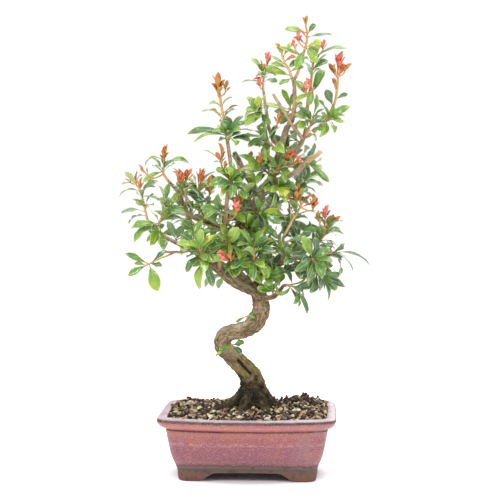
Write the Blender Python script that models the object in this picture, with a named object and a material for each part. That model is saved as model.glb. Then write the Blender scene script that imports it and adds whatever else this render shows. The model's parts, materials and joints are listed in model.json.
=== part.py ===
"""A pomegranate bonsai: a bent trunk with leafy shoots, granular soil and a glazed oblong pot.

Metres, +Z up. +X runs along the pot's long side and -Y is its front. Everything is worked out
from the middle of the pot on the ground, and at the end the whole bonsai is moved level, so
that the origin lies on the ground under the middle of its bounding box.
"""

import math
import random
from collections import namedtuple

import bmesh
import bpy
from mathutils import Matrix, Vector, geometry, noise
from mathutils.bvhtree import BVHTree

MM = 0.001
GAP = 0.3 * MM

# The pot: an oblong of 205 by 150 mm over its rim, 76 mm high, on four corner feet.
RIM_HALF_WIDTH = 101.5 * MM
RIM_HALF_DEPTH = 75.0 * MM
RIM_HEIGHT = 75.8 * MM
RIM_SAG = 2.7 * MM
SIDE_BOW = 1.2 * MM
LIP_HEIGHT = 60.3 * MM
SAG_START = 18.0 * MM
CORNER_STEPS = 3
FLOOR_TOP = 18.0 * MM
ARCH_HEIGHT = 9.0 * MM
ARCH_TOP_HALF = 36.5 * MM
ARCH_FOOT_HALF = 57.0 * MM
SIDE_ARCH_SHRINK = 25.0 * MM
SHOULDER_STEPS = 5
DRAIN_RADIUS = 8.0 * MM
DRAIN_SIDES = 14
DRAIN_PLACES = (-45.0 * MM, 45.0 * MM)

# The pot's section: inset from the rim's outer edge, height and corner radius, in millimetres.
POT_UNDERSIDE = [(35.6, 10.4, 4), (35.6, 0.0, 4)]
POT_OUTSIDE = [
    (24.8, 0.0, 10), (23.4, 0.8, 11), (22.3, 3.0, 12), (21.9, 9.0, 12), (21.6, 12.4, 12),
    (19.9, 17.8, 12), (17.2, 24.0, 13), (14.8, 30.5, 14), (12.5, 42.0, 14), (9.1, 59.8, 15)]
POT_LIP = [
    (8.4, 60.5, 13), (6.9, 61.4, 13), (3.9, 64.2, 12), (1.2, 68.2, 12), (0.0, 72.2, 12), (0.5, 73.9, 12)]
POT_INSIDE = [(2.6, 75.6, 11), (10.2, 75.3, 9), (11.6, 73.9, 8), (25.0, 22.0, 8), (30.0, 18.0, 8)]

# The plastic screens that keep the soil out of the drain holes.
SCREEN_WIDTH = 25.0 * MM
SCREEN_THICKNESS = 1.2 * MM
SCREEN_BAR = 3.0 * MM

# The soil: level with the rim in front, higher behind, with a heap of bark at the right.
SOIL_FRONT = 73.6 * MM
SOIL_RISE = 5.0 * MM
SOIL_GRAIN = 11.5 * MM
SOIL_ROUGHNESS = 2.2 * MM
SOIL_INSET = 12.4 * MM
SOIL_CORNER = 8.0 * MM
SOIL_BOTTOM = [(25.8, 22.2), (31.0, 18.6)]
BARK_HEAP = (60.4 * MM, 38.0 * MM, 20.0 * MM, 8.5 * MM)
ROOT_MOUND = (2.3 * MM, 8.0 * MM, 38.0 * MM, 4.5 * MM)

# The tree is drawn from one viewpoint. A point of a drawing is (across, up, back): steps to
# the right of the pot's middle, steps above a base line, and millimetres behind the
# upright plane through the pot's middle. One step is 1.168 mm on that plane.
VIEW_DISTANCE = 1.6
VIEW_HEIGHT = 0.3295
VIEW_TURN = math.radians(-3.0)
VIEW_TILT = math.radians(2.4)
FOCAL_STEPS = 1370.0
AXIS_UP = 215.0

# Wood and leaves.
BARK_LUMPS = 0.05
LUMP_SCALE = 110.0
LEAF_THICKNESS = 0.85 * MM
LEAF_BREADTH = 1.15
PETIOLE = 0.55 * MM
NARROW_LEAF = 7.0 * MM
BROAD_LEAF = 10.5 * MM
TWIG_SIDES = 4
TWIG_TOLERANCE = 1.2 * MM
LIMB_TOLERANCE = 1.0 * MM
LEAF_CLEARANCE = 0.7 * MM
LEAF_TRIES = 14
GOLDEN_TURN = 2.4
HOLE_CLEARANCE = 2 * GAP
SEED = 41

Leaf = namedtuple("Leaf", "base tip up width arch kind")


# The trunk's route, with its radius in millimetres as a fourth value.
TRUNK = [
    (4, 36, 8, 9), (4, 48, 8, 19), (4, 57, 8, 24.5), (4.5, 65, 7, 21),
    (4.5, 71.5, 6, 17.2), (4.3, 77, 6, 14.8), (4, 82, 5, 13.4), (1.5, 90, 5, 11.7), (-6, 98.5, 4, 10.6),
    (-13, 105.5, 3, 9.8), (-19, 111.5, 2, 9.6), (-24.5, 116.3, 1, 9.8), (-27.3, 123, 0, 10),
    (-24.5, 129.7, -2, 9.9), (-18, 132.7, -4, 9.7), (-11, 133.6, -5, 9.5), (-4, 135.4, -6, 9.3),
    (3, 139, -5, 9.4), (9, 146, -2, 9.3), (12, 155, 2, 9.4), (11.9, 162, 4, 8.9),
    (10.8, 168, 5, 9.0), (9.5, 173, 6, 7.6),
]

# Surface roots: each starts inside the trunk's foot and dives into the soil.
ROOTS = [
    [(2, 78, 4, 10), (-8, 69, -2, 8), (-20, 62, -8, 6.5), (-31, 56, -13, 5), (-38, 49, -16, 3)],
    [(6, 78, 4, 10), (14, 70, 4, 8), (22, 64, 4, 6), (29, 58, 4, 4), (34, 51, 4, 2.5)],
    [(2, 76, 2, 9), (-2, 66, -10, 8), (-6, 58, -20, 6), (-10, 51, -28, 4), (-12, 45, -32, 3)],
    [(6, 76, 2, 9), (11, 66, -10, 7), (16, 58, -20, 5.5), (21, 50, -27, 3)],
    [(3, 76, 10, 9), (-3, 69, 22, 8), (-9, 63, 33, 6), (-14, 56, 42, 3.5)],
    [(7, 76, 10, 9), (13, 69, 20, 7), (21, 64, 30, 5), (27, 57, 38, 3)],
]

# Limbs: name, what they grow from, first and last radius in millimetres, and the route.
LIMBS = [
    ("leader", "trunk", 7.0, 3.4, [
        (10.5, 168, 5), (8, 176, 7), (3, 181.5, 9), (-6, 186, 11), (-13, 193, 14), (-16, 204, 17),
        (-16, 217, 20), (-14, 230, 20), (-8, 243, 18), (1, 257, 14), (10, 268, 10), (19, 281, 6),
        (24, 291, 4), (28, 302, 2), (31, 315, 0), (34, 325, 0), (38, 337, 2)]),
    ("mast", "leader", 3.0, 1.9, [(38, 337, 2), (44, 348, 4), (46, 365, 6), (45.5, 375, 6), (45, 385, 5)]),
    ("low_limb", "trunk", 5.0, 2.9, [
        (10, 167, 3), (4, 173, -4), (-6, 177, -9), (-15, 182, -12), (-23, 188, -14), (-30, 194, -15),
        (-41, 202, -18), (-49, 209, -20), (-54, 216, -21), (-61, 224, -23), (-65, 229, -24)]),
    ("spire", "low_limb", 2.4, 1.7, [
        (-30, 194, -15), (-29, 205, -17), (-27, 218, -16), (-24, 240, -14), (-22, 265, -11),
        (-20, 279, -9), (-18, 295, -7), (-20, 313, -6), (-22, 326, -5)]),
    ("left_limb", "low_limb", 2.8, 1.3, [
        (-52, 212, -20), (-61, 216, -16), (-71, 221, -13), (-81, 226.5, -11), (-91, 233, -10),
        (-99, 239, -8), (-110, 244, -6)]),
    ("left_low_twig", "left_limb", 1.6, 1.2, [(-58, 215, -17), (-66, 213, -26), (-75, 213, -32), (-84, 213, -38)]),
    ("upper_left", "leader", 3.0, 1.9, [
        (-14, 232, 20), (-27, 237, 17), (-39, 242, 10), (-49, 245, 5), (-59, 250, 0), (-65, 259, -2),
        (-71, 273, -4), (-78, 281, -4)]),
    ("dead_top", "leader", 3.6, 2.8, [
        (10, 268, 10), (4, 279, 14), (-3, 290, 18), (-8, 300, 20), (-15, 313, 22)]),
    ("tan_stub", "leader", 3.2, 2.4, [
        (20, 283, 6), (30, 285, 0), (46, 293, -6), (56, 302, -9), (66, 309, -11), (72, 314, -12)]),
    ("right_limb", "leader", 3.4, 2.2, [
        (23, 289, 4), (39, 300, 10), (45, 310, 12), (51, 320, 14), (55, 328, 15)]),
    ("right_stem", "right_limb", 1.9, 1.5, [
        (55, 328, 15), (57, 338, 15), (58, 350, 14), (59, 365, 12), (61, 374, 11)]),
    ("right_arm", "right_limb", 2.0, 1.5, [
        (55, 327, 15), (62, 331, 20), (69, 337, 23), (76, 345, 25), (83, 356, 26)]),
    ("tan_twig", "right_limb", 1.9, 1.4, [
        (54, 326, 14), (50, 331, 3), (43, 340, -9), (37, 350, -12), (29, 363, -12), (24, 371, -12)]),
    ("left_top", "leader", 2.0, 1.3, [
        (31, 315, 0), (24, 327, -3), (20, 337, -4), (18, 350, -6), (16, 362, -6), (15, 371, -6)]),
    ("base_branch", "trunk", 3.2, 2.0, [
        (12.5, 165, 3), (19, 167, -3), (24, 167.5, -6), (29, 172, -10), (34, 179, -13)]),
    ("right_back", "leader", 2.8, 1.8, [
        (9, 174, 7), (16, 179, 14), (25, 187, 20), (33, 194, 26), (42, 199, 30), (52, 203, 31), (62, 206, 30)]),
    ("right_mid", "trunk", 2.8, 1.5, [
        (11, 170, 4), (17, 180, 0), (23, 191, -4), (31, 200, -9), (42, 205, -13), (54, 207, -16)]),
    ("right_riser", "right_mid", 1.8, 1.4, [(31, 200, -9), (33, 210, -9), (34, 219, -8), (34, 227, -6)]),
    ("front_stem", "trunk", 2.0, 1.5, [(10, 172, 4), (12, 179, -6), (10, 188, -15), (7, 197, -23)]),
    ("back_limb", "leader", 2.6, 1.6, [(-16, 210, 18), (-11, 219, 32), (-4, 228, 45), (3, 238, 58)]),
    ("back_right", "leader", 2.4, 1.6, [(8, 266, 10), (17, 263, 26), (28, 262, 41), (38, 266, 52)]),
    ("back_left", "upper_left", 2.0, 1.5, [(-27, 237, 17), (-34, 235, 32), (-43, 234, 44), (-51, 238, 54)]),
]

# Leafy shoots: name, what they grow from, first and last radius, route, leaves set by hand,
# then the number of further leaves and their length in millimetres. A leaf set by hand is
# (place along the shoot, tip across, tip up, tip back, width, arch, kind).
SHOOTS = [
    ("shoot_far_left", "left_limb", 1.2, 0.8, [
        (-99, 239, -8), (-102, 247, -6), (-104, 256, -4), (-106, 265, -2), (-109, 274, 0),
        (-113, 281, 3), (-119, 290, 5)], [
        (0.62, -130, 268, 12, 7, 5, "leaf"), (0.6, -91, 285, -12, 7, 2, "leaf"),
        (0.52, -84, 261, -16, 8, 2, "leaf"), (0.3, -112, 264, -14, 7, 1, "leaf"),
        (0.25, -96, 261, -16, 8, 1, "leaf"), (0.2, -128, 252, 6, 7, 3, "leaf"),
        (0.12, -121, 243, -12, 7, 3, "leaf"), (0.74, -124, 294, -8, 6, 1, "young"),
        (0.8, -112, 294, 8, 4, 0, "red")], 1, 28),
    ("shoot_left_cluster", "left_limb", 1.2, 0.8, [
        (-90, 232, -10), (-91, 238, -17), (-89, 244, -22), (-85, 255, -26), (-84, 265, -28)], [
        (0.2, -116, 226, -30, 10, 4, "leaf"), (0.26, -118, 237, -26, 9, 4, "leaf"),
        (0.16, -99, 219, -38, 8, 2, "leaf"), (0.22, -88, 217, -42, 8, 2, "leaf"),
        (0.5, -94, 254, -38, 7, 1, "leaf"), (0.98, -93, 284, -30, 8, 1, "leaf"),
        (0.6, -64, 252, -36, 8, 5, "leaf"), (0.4, -66, 246, -18, 8, 5, "leaf"),
        (0.9, -80, 283, -36, 7, 0, "leaf")], 1, 28),
    ("shoot_left_low", "left_low_twig", 1.0, 0.8, [
        (-74, 213, -31), (-82, 209, -34), (-90, 206, -37), (-104, 199, -40)], [
        (0.95, -126, 212, -48, 8, 3, "leaf"), (0.97, -121, 189, -34, 7, 2, "leaf"),
        (0.75, -87, 193, -54, 6, 2, "leaf"), (0.92, -92, 174, -44, 11, 2, "leaf"),
        (0.98, -105, 186, -50, 9, 1, "leaf"), (0.85, -115, 204, -26, 6, 2, "young")], 0, 24),
    ("shoot_left_spire", "upper_left", 1.5, 0.9, [
        (-78, 281, -4), (-83, 287, -4), (-86, 293, -4), (-85, 300, -5), (-84.5, 307, -5)], [
        (0.5, -98, 309, -10, 7, 1, "leaf"), (0.55, -75, 305, -16, 7, 1, "leaf"),
        (0.6, -60, 304, 6, 6, 6, "leaf"), (0.9, -105, 300, -2, 6, 6, "leaf"),
        (0.45, -106, 283, -14, 6, 2, "leaf")], 1, 26),
    ("shoot_left_fan", "upper_left", 1.3, 0.9, [
        (-65, 259, -2), (-63, 265, -7), (-64, 274, -9), (-64, 283, -9)], [
        (0.6, -74, 298, -18, 5, 1, "leaf"), (0.95, -76, 295, -10, 4, 0, "red"),
        (0.97, -70, 297, -16, 4, 0, "red"), (0.98, -62, 296, -12, 4, 0, "red"),
        (0.7, -50, 268, -20, 7, 3, "leaf"), (0.5, -78, 262, -22, 7, 3, "leaf")], 1, 26),
    ("shoot_left_inner", "upper_left", 1.2, 0.8, [
        (-49, 245, 5), (-50, 254, 10), (-52, 268, 13), (-50, 280, 14)], [
        (0.8, -61, 297, 20, 7, 2, "leaf"), (0.7, -60, 284, 2, 6, 2, "leaf"),
        (0.85, -34, 293, 22, 8, 4, "leaf"), (0.98, -52, 294, 18, 4, 0, "red"),
        (0.99, -45, 297, 14, 4, 0, "red")], 2, 27),
    ("shoot_olive", "upper_left", 1.1, 0.8, [
        (-38, 242, 10), (-41, 250, 5), (-42, 260, 2), (-40, 268, 2), (-39, 276, 2)], [
        (0.97, -36, 290, 0, 7, 1, "red"), (0.6, -53, 262, -10, 8, 3, "leaf"),
        (0.4, -30, 254, -12, 7, 3, "leaf")], 2, 26),
    ("shoot_mid_left", "low_limb", 1.3, 0.8, [
        (-41, 202, -18), (-43, 206, -28), (-47, 211, -38), (-50, 217, -46)], [
        (0.6, -63, 193, -44, 8, 3, "leaf"), (0.5, -44, 193, -52, 8, 3, "leaf"),
        (0.35, -51, 176, -38, 8, 2, "leaf"), (0.3, -36, 178, -34, 8, 2, "leaf"),
        (0.9, -47, 236, -56, 9, 2, "leaf"), (0.95, -72, 222, -56, 7, 4, "leaf")], 1, 28),
    ("shoot_low_bud", "leader", 1.9, 1.0, [
        (-16, 203, 17), (-14, 204, 4), (-11.5, 205.5, -8), (-17, 207, -15), (-24, 208, -19)], [
        (0.5, -16, 188, -22, 12, 2, "leaf"), (0.48, 13, 182, -26, 8, 4, "leaf"),
        (0.55, -46, 197, -8, 9, 3, "leaf"), (0.99, -33, 211, -22, 5, 0, "red"),
        (0.98, -31, 207, -26, 5, 0, "red"), (0.6, 1, 198, -34, 9, 3, "leaf")], 1, 28),
    ("shoot_spire_low", "spire", 1.2, 0.9, [
        (-20, 279, -9), (-18, 281, -14), (-17, 285, -20)], [
        (0.9, -23, 296, -26, 11, 1, "young"), (0.8, -40, 281, -24, 8, 4, "leaf"),
        (0.85, -8, 293, -30, 7, 2, "leaf"), (0.9, -18, 267, -34, 8, 4, "leaf")], 1, 26),
    ("shoot_spire_mid", "spire", 1.1, 0.9, [
        (-21, 322, -5), (-20, 326, -11), (-20, 331, -15)], [
        (0.9, -27, 345, -18, 9, 1, "young"), (0.85, -1, 344, -8, 7, 3, "leaf"),
        (0.8, 2, 335, -22, 7, 3, "leaf"), (0.9, -8, 350, -24, 6, 2, "leaf"),
        (0.85, -62, 333, -10, 7, 6, "leaf"), (0.8, -55, 327, -24, 6, 3, "leaf")], 0, 26),
    ("shoot_spire_top", "spire", 1.7, 1.1, [
        (-22, 326, -5), (-23, 335, -4), (-26, 350, -3), (-28, 361, -3), (-29, 370, -2)], [
        (0.7, -17, 368, -8, 6, 2, "young"), (0.68, -40, 361, -6, 6, 3, "young"),
        (0.5, -48, 354, -10, 5, 3, "leaf"), (0.45, -14, 356, -12, 8, 1, "leaf"),
        (0.35, -38, 356, 8, 5, 1, "red"), (0.55, -12, 361, 8, 4, 0, "red")], 0, 22),
    ("shoot_spire_red", "spire", 1.0, 0.8, [
        (-19, 286, -8), (-24, 290, -13), (-27, 298, -15), (-28, 306, -15)], [
        (0.98, -30, 322, -15, 7, 1, "red"), (0.9, -33, 313, -22, 4, 0, "red"),
        (0.9, -24, 314, -8, 4, 0, "red"), (0.85, -45, 315, -18, 6, 2, "young")], 0, 24),
    ("shoot_centre_red", "upper_left", 1.4, 1.0, [
        (-24, 236, 18), (-20, 245, 8), (-17, 253, 0), (-13, 258, -6), (-10, 263, -8),
        (-13, 271, -8), (-14, 281, -7), (-11, 293, -5), (-8, 303, -3)], [
        (0.36, -17, 266, -18, 5, 0, "red"), (0.38, -6, 268, -20, 5, 0, "red"),
        (0.4, -12, 268, -24, 5, 0, "red"), (0.38, 4, 284, -18, 13, 1, "young"),
        (0.25, -4, 243, -18, 10, 3, "leaf")], 1, 27),
    ("shoot_top", "mast", 1.6, 0.9, [
        (45, 385, 5), (49, 393, 4), (52, 405, 3), (55, 413, 2), (58, 425, 1), (58, 433, 0), (57, 438, 0)], [
        (0.85, 35, 437, -4, 7, 2, "leaf"), (0.9, 66, 442, -8, 5, 1, "young"),
        (0.86, 66, 421, -14, 5, 2, "leaf"), (0.84, 83, 432, 8, 7, 5, "leaf"),
        (0.8, 48, 436, -8, 4, 0, "red"), (0.7, 43, 426, -10, 5, 1, "young"),
        (0.5, 60, 415, -14, 9, 2, "leaf"), (0.35, 40, 412, -8, 6, 2, "leaf")], 1, 26),
    ("shoot_right_top", "right_stem", 1.5, 1.0, [
        (61, 374, 11), (62, 382, 10), (63, 391, 10), (64, 401, 9), (66, 408, 8)], [
        (0.85, 64, 420, 0, 10, 1, "young"), (0.95, 73, 424, 6, 8, 1, "young"),
        (0.9, 98, 417, 14, 7, 6, "leaf"), (0.6, 50, 403, 18, 7, 2, "leaf"),
        (0.55, 79, 404, 18, 7, 3, "leaf")], 1, 27),
    ("shoot_right_stem", "right_stem", 1.2, 0.9, [
        (60.5, 368, 11), (63, 372, 5), (65, 378, -1)], [
        (0.8, 76, 396, -6, 12, 2, "leaf"), (0.9, 57, 387, -6, 5, 0, "red"),
        (0.7, 47, 365, -8, 7, 2, "young"), (0.85, 60, 360, -14, 7, 2, "leaf")], 1, 26),
    ("shoot_left_top", "left_top", 1.3, 0.9, [
        (15, 371, -6), (14, 378, -7), (15, 388, -8), (18, 399, -8)], [
        (0.3, -8, 383, -12, 8, 2, "leaf"), (0.35, 28, 384, 4, 7, 2, "leaf"),
        (0.45, 12, 394, -18, 8, 1, "young"), (0.5, 4, 386, -20, 4, 0, "red"),
        (0.6, 7, 390, 4, 4, 0, "red"), (0.65, 24, 400, -18, 7, 1, "young"),
        (0.99, 17, 412, -10, 6, 0, "red"), (0.97, 22, 410, -4, 4, 0, "red")], 1, 25),
    ("shoot_left_top_low", "left_top", 1.1, 0.9, [
        (18, 347, -6), (14, 350, -12), (10, 354, -17)], [
        (0.85, -3, 356, -22, 7, 2, "leaf"), (0.7, 22, 341, -24, 7, 2, "leaf"),
        (0.9, 9, 369, -22, 7, 1, "young"), (0.75, -4, 341, -26, 8, 3, "leaf")], 1, 26),
    ("shoot_mast_low", "mast", 1.2, 0.9, [
        (45, 352, 5), (43, 355, 12), (40, 357, 18)], [
        (0.8, 8, 362, 14, 8, 3, "leaf"), (0.85, 35, 377, 22, 7, 2, "leaf"),
        (0.9, 30, 345, 26, 8, 3, "leaf"), (0.85, 54, 362, 30, 7, 3, "leaf")], 1, 27),
    ("shoot_mast_high", "mast", 1.3, 1.0, [
        (45.5, 378, 6), (43, 387, 3), (40, 395, 0), (36, 402, -2), (33, 410, -3), (34, 418, -3)], [
        (0.25, 22, 394, -12, 7, 2, "leaf"), (0.5, 47, 408, -10, 4, 0, "red"),
        (0.55, 22, 405, 6, 6, 2, "leaf"), (0.8, 26, 420, -8, 5, 1, "young"),
        (0.9, 44, 424, 6, 5, 1, "young")], 1, 25),
    ("shoot_right_spire", "right_arm", 1.5, 1.0, [
        (83, 356, 26), (86, 363, 26), (88, 374, 26), (89, 386, 25), (89, 396, 25)], [
        (0.2, 77, 376, 16, 6, 1, "leaf"), (0.6, 83, 385, 18, 6, 0, "red"),
        (0.8, 80, 402, 20, 6, 1, "red"), (0.85, 97, 400, 30, 6, 1, "red"),
        (0.4, 99, 370, 34, 6, 2, "leaf")], 1, 22),
    ("shoot_right_arm", "right_arm", 1.1, 0.9, [
        (75, 344, 25), (78, 344, 18), (81, 346, 12)], [
        (0.85, 100, 359, 4, 7, 5, "leaf"), (0.7, 86, 333, 0, 7, 2, "leaf"),
        (0.9, 70, 366, 8, 8, 1, "leaf"), (0.8, 97, 342, 16, 7, 3, "leaf")], 1, 26),
    ("shoot_right_fork", "right_limb", 1.3, 0.9, [
        (54, 326, 15), (58, 332, 8), (62, 341, 3), (65, 350, 0)], [
        (0.3, 67, 324, -8, 6, 2, "leaf"), (0.95, 68, 371, -6, 8, 1, "leaf"),
        (0.6, 80, 338, -6, 7, 3, "leaf"), (0.7, 50, 358, -6, 7, 2, "leaf")], 1, 26),
    ("shoot_right_limb", "right_limb", 1.2, 0.8, [
        (44, 308, 12), (49, 308, 20), (54, 306, 25), (58, 302, 27)], [
        (0.9, 80, 283, 14, 6, 4, "leaf"), (0.7, 66, 318, 26, 6, 2, "leaf"),
        (0.8, 50, 290, 34, 7, 3, "leaf"), (0.95, 74, 296, 40, 7, 4, "leaf")], 1, 27),
    ("shoot_right_fan", "leader", 1.3, 0.9, [
        (22, 286, 5), (25, 292, -6), (29, 297, -11), (34, 302, -14)], [
        (0.6, 16, 310, -22, 7, 1, "leaf"), (0.5, 37, 283, -26, 7, 3, "leaf"),
        (0.7, 20, 300, -32, 6, 2, "leaf")], 0, 24),
    ("shoot_leader_left", "leader", 1.3, 0.9, [
        (31, 314, 0), (25, 318, -9), (20, 322, -14), (14, 327, -17)], [
        (0.9, -1, 319, -22, 8, 3, "leaf"), (0.95, 1, 336, -20, 7, 2, "leaf"),
        (0.85, 13, 343, -14, 8, 2, "leaf"), (0.7, 31, 338, -24, 7, 2, "leaf"),
        (0.6, 16, 305, -28, 8, 3, "leaf")], 2, 28),
    ("shoot_leader_low", "leader", 1.2, 0.9, [
        (22, 288, 4), (19, 292, -5), (14, 297, -12)], [
        (0.85, 17, 322, -18, 9, 1, "young"), (0.8, -4, 298, -18, 7, 3, "leaf"),
        (0.85, -10, 311, -12, 7, 3, "leaf"), (0.75, 8, 282, -26, 7, 3, "leaf")], 1, 26),
    ("shoot_leader_right", "leader", 1.2, 0.9, [
        (17, 279, 7), (23, 279, -2), (28, 279, -9)], [
        (0.85, 36, 268, -16, 12, 3, "young"), (0.75, 14, 264, -16, 8, 3, "leaf"),
        (0.8, 22, 258, -22, 7, 2, "leaf"), (0.9, 49, 277, -16, 7, 3, "leaf")], 1, 27),
    ("shoot_centre_top", "leader", 1.3, 0.9, [
        (0, 256, 14), (6, 254, 4), (11, 251, -6)], [
        (0.9, 29, 257, -12, 8, 2, "young"), (0.85, 35, 250, -2, 7, 3, "young"),
        (0.8, 32, 241, -16, 7, 3, "young"), (0.9, 17, 237, -22, 7, 3, "leaf"),
        (0.85, -7, 249, -14, 8, 2, "leaf"), (0.9, 8, 268, -20, 7, 1, "leaf")], 1, 27),
    ("shoot_centre_mid", "leader", 1.3, 0.9, [
        (-10, 240, 19), (-6, 238, 8), (-1, 235, -4)], [
        (0.95, -2, 212, -16, 5, 1, "young"), (0.9, 4, 213, -8, 5, 1, "young"),
        (0.85, -17, 226, -20, 11, 3, "leaf"), (0.9, 19, 223, -20, 11, 4, "leaf"),
        (0.8, 2, 250, -20, 8, 2, "leaf")], 1, 28),
    ("shoot_centre_bright", "spire", 1.1, 0.9, [
        (-27, 220, -16), (-23, 220, -24), (-19, 221, -31)], [
        (0.85, -11, 238, -38, 11, 2, "young"), (0.8, -30, 242, -34, 9, 2, "young"),
        (0.85, -40, 219, -44, 8, 3, "leaf"), (0.9, -9, 206, -44, 9, 3, "leaf"),
        (0.75, -33, 204, -40, 8, 3, "leaf")], 1, 28),
    ("shoot_centre_front", "front_stem", 1.4, 0.9, [
        (7, 197, -23), (5, 203, -29), (5, 210, -35), (4, 217, -40)], [
        (0.2, 20, 189, -40, 12, 3, "leaf"), (0.5, -18, 196, -44, 8, 3, "leaf"),
        (0.7, 25, 214, -48, 9, 3, "leaf"), (0.9, -8, 236, -46, 8, 2, "leaf"),
        (0.8, 14, 236, -50, 8, 2, "leaf"), (0.4, 4, 184, -52, 8, 2, "leaf")], 1, 28),
    ("shoot_base_right", "base_branch", 1.7, 0.9, [
        (34, 179, -13), (38, 180, -15), (43, 179, -16), (48, 176, -17)], [
        (0.98, 58, 151, -16, 7, 2, "leaf"), (0.7, 46, 161, -24, 7, 3, "leaf"),
        (0.8, 55, 168, -6, 7, 3, "leaf"), (0.4, 28, 172, -28, 8, 3, "leaf"),
        (0.5, 36, 196, -24, 7, 2, "leaf")], 1, 27),
    ("shoot_right_low", "right_back", 1.4, 0.8, [
        (55, 204, 31), (60, 199, 22), (66, 194, 14), (73, 190, 6)], [
        (0.7, 62, 172, 4, 8, 3, "leaf"), (0.75, 71, 173, 14, 8, 3, "leaf"),
        (0.92, 81, 165, 4, 8, 2, "leaf"), (0.95, 88, 175, 12, 8, 3, "leaf"),
        (0.98, 96, 178, -2, 7, 3, "leaf"), (0.8, 50, 190, 4, 7, 3, "leaf")], 1, 28),
    ("shoot_rosette", "right_mid", 1.3, 0.9, [
        (54, 207, -16), (58, 207, -20), (62, 206, -26), (64, 206, -32)], [
        (0.9, 54, 229, -34, 9, 2, "young"), (0.95, 66, 228, -42, 8, 2, "leaf"),
        (0.9, 80, 217, -36, 8, 2, "leaf"), (0.95, 84, 203, -40, 8, 3, "leaf"),
        (0.9, 74, 187, -40, 8, 3, "leaf"), (0.95, 60, 184, -44, 8, 3, "leaf"),
        (0.9, 46, 194, -40, 8, 3, "leaf"), (0.95, 41, 210, -36, 7, 2, "leaf")], 1, 28),
    ("shoot_far_right", "right_back", 1.5, 0.9, [
        (62, 206, 30), (70, 209, 26), (80, 212, 21), (88, 213, 17)], [
        (0.97, 121, 201, 10, 6, 6, "leaf"), (0.9, 92, 188, 6, 7, 3, "leaf"),
        (0.93, 104, 193, 26, 7, 4, "leaf"), (0.8, 97, 207, 0, 6, 2, "leaf"),
        (0.7, 78, 226, 40, 7, 2, "leaf"), (0.5, 74, 190, 38, 8, 3, "leaf")], 1, 27),
    ("shoot_riser", "right_riser", 1.4, 1.0, [
        (34, 227, -6), (37, 233, -6), (41, 240, -6), (45, 247, -5), (49, 254, -4), (52, 260, -3), (50, 269, -2)], [
        (0.55, 43, 265, -16, 8, 1, "leaf"), (0.75, 38, 268, -6, 4, 0, "red"),
        (0.5, 76, 249, -8, 6, 6, "leaf"), (0.78, 62, 270, 4, 4, 1, "red"),
        (0.72, 69, 262, -6, 4, 1, "red"), (0.3, 24, 243, 2, 7, 2, "leaf")], 1, 26),
    ("shoot_right_tips", "right_back", 1.3, 0.9, [
        (61, 206, 30), (64, 213, 25), (71, 224, 18), (76, 231, 14), (80, 237, 12)], [
        (0.85, 94, 247, 2, 7, 3, "leaf"), (0.5, 86, 216, 4, 7, 2, "leaf"),
        (0.8, 91, 236, 24, 6, 2, "leaf"), (0.9, 71, 249, 4, 6, 0, "red"),
        (0.6, 62, 241, 2, 9, 2, "leaf")], 1, 26),
    ("shoot_right_inner", "right_riser", 1.2, 0.9, [
        (34, 222, -8), (40, 224, -2), (47, 226, 4), (53, 229, 8)], [
        (0.9, 61, 244, 2, 9, 2, "leaf"), (0.7, 36, 240, 14, 8, 2, "leaf"),
        (0.8, 64, 222, 18, 8, 3, "leaf"), (0.6, 48, 212, 14, 8, 3, "leaf")], 1, 27),
    ("shoot_back_limb", "back_limb", 1.5, 0.9, [
        (3, 238, 58), (7, 245, 64), (12, 253, 69), (15, 262, 72)], [], 7, 32),
    ("shoot_back_low", "back_limb", 1.3, 0.9, [
        (-9, 222, 36), (-3, 218, 46), (6, 215, 54), (15, 213, 60)], [], 7, 32),
    ("shoot_back_right", "back_right", 1.5, 0.9, [
        (38, 266, 52), (44, 270, 57), (50, 277, 61), (55, 286, 62)], [], 7, 30),
    ("shoot_back_side", "back_right", 1.3, 0.9, [
        (26, 262, 38), (30, 254, 46), (36, 246, 52), (43, 239, 56)], [], 7, 31),
    ("shoot_back_left", "back_left", 1.4, 0.9, [
        (-51, 238, 54), (-57, 243, 58), (-63, 251, 61), (-68, 260, 62)], [], 7, 30),
    ("shoot_back_inner", "back_left", 1.3, 0.9, [
        (-38, 235, 38), (-37, 227, 46), (-38, 219, 53), (-41, 212, 58)], [], 7, 30),
    ("sprout_bend", "trunk", 1.0, 0.8, [(-21, 114, 1), (-20, 117, -8), (-18, 119, -15), (-16, 121, -18)], [
        (0.98, -6, 126, -20, 6, 2, "leaf"), (0.95, -8, 112, -22, 7, 2, "leaf"),
        (0.9, -32, 118, -22, 6, 2, "leaf")], 0, 12),
    ("sprout_top", "trunk", 1.0, 0.8, [(-4, 135.4, -6), (-3, 143, -9), (-2, 149, -10)], [
        (0.95, -13, 151, -12, 4, 1, "young"), (0.98, 5, 154, -14, 4, 1, "young")], 0, 12),
]

# Tufts of red new leaves on the ends of the tallest shoots: name, shoot, number of leaves,
# and their length, width and spread.
TUFTS = [
    ("tip_spire", "shoot_spire_top", 5, 25, 5.0, 0.24),
    ("tip_right_spire", "shoot_right_spire", 5, 18, 4.5, 0.45),
    ("tip_top", "shoot_top", 3, 12, 4.0, 0.35),
    ("tip_left_spire", "shoot_left_spire", 3, 15, 3.8, 0.2),
    ("tip_right_fan", "shoot_right_fan", 5, 20, 5.0, 0.55),
    ("tip_riser", "shoot_riser", 4, 14, 4.5, 0.3),
    ("tip_right", "shoot_right_tips", 4, 18, 5.0, 0.36),
]


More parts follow.
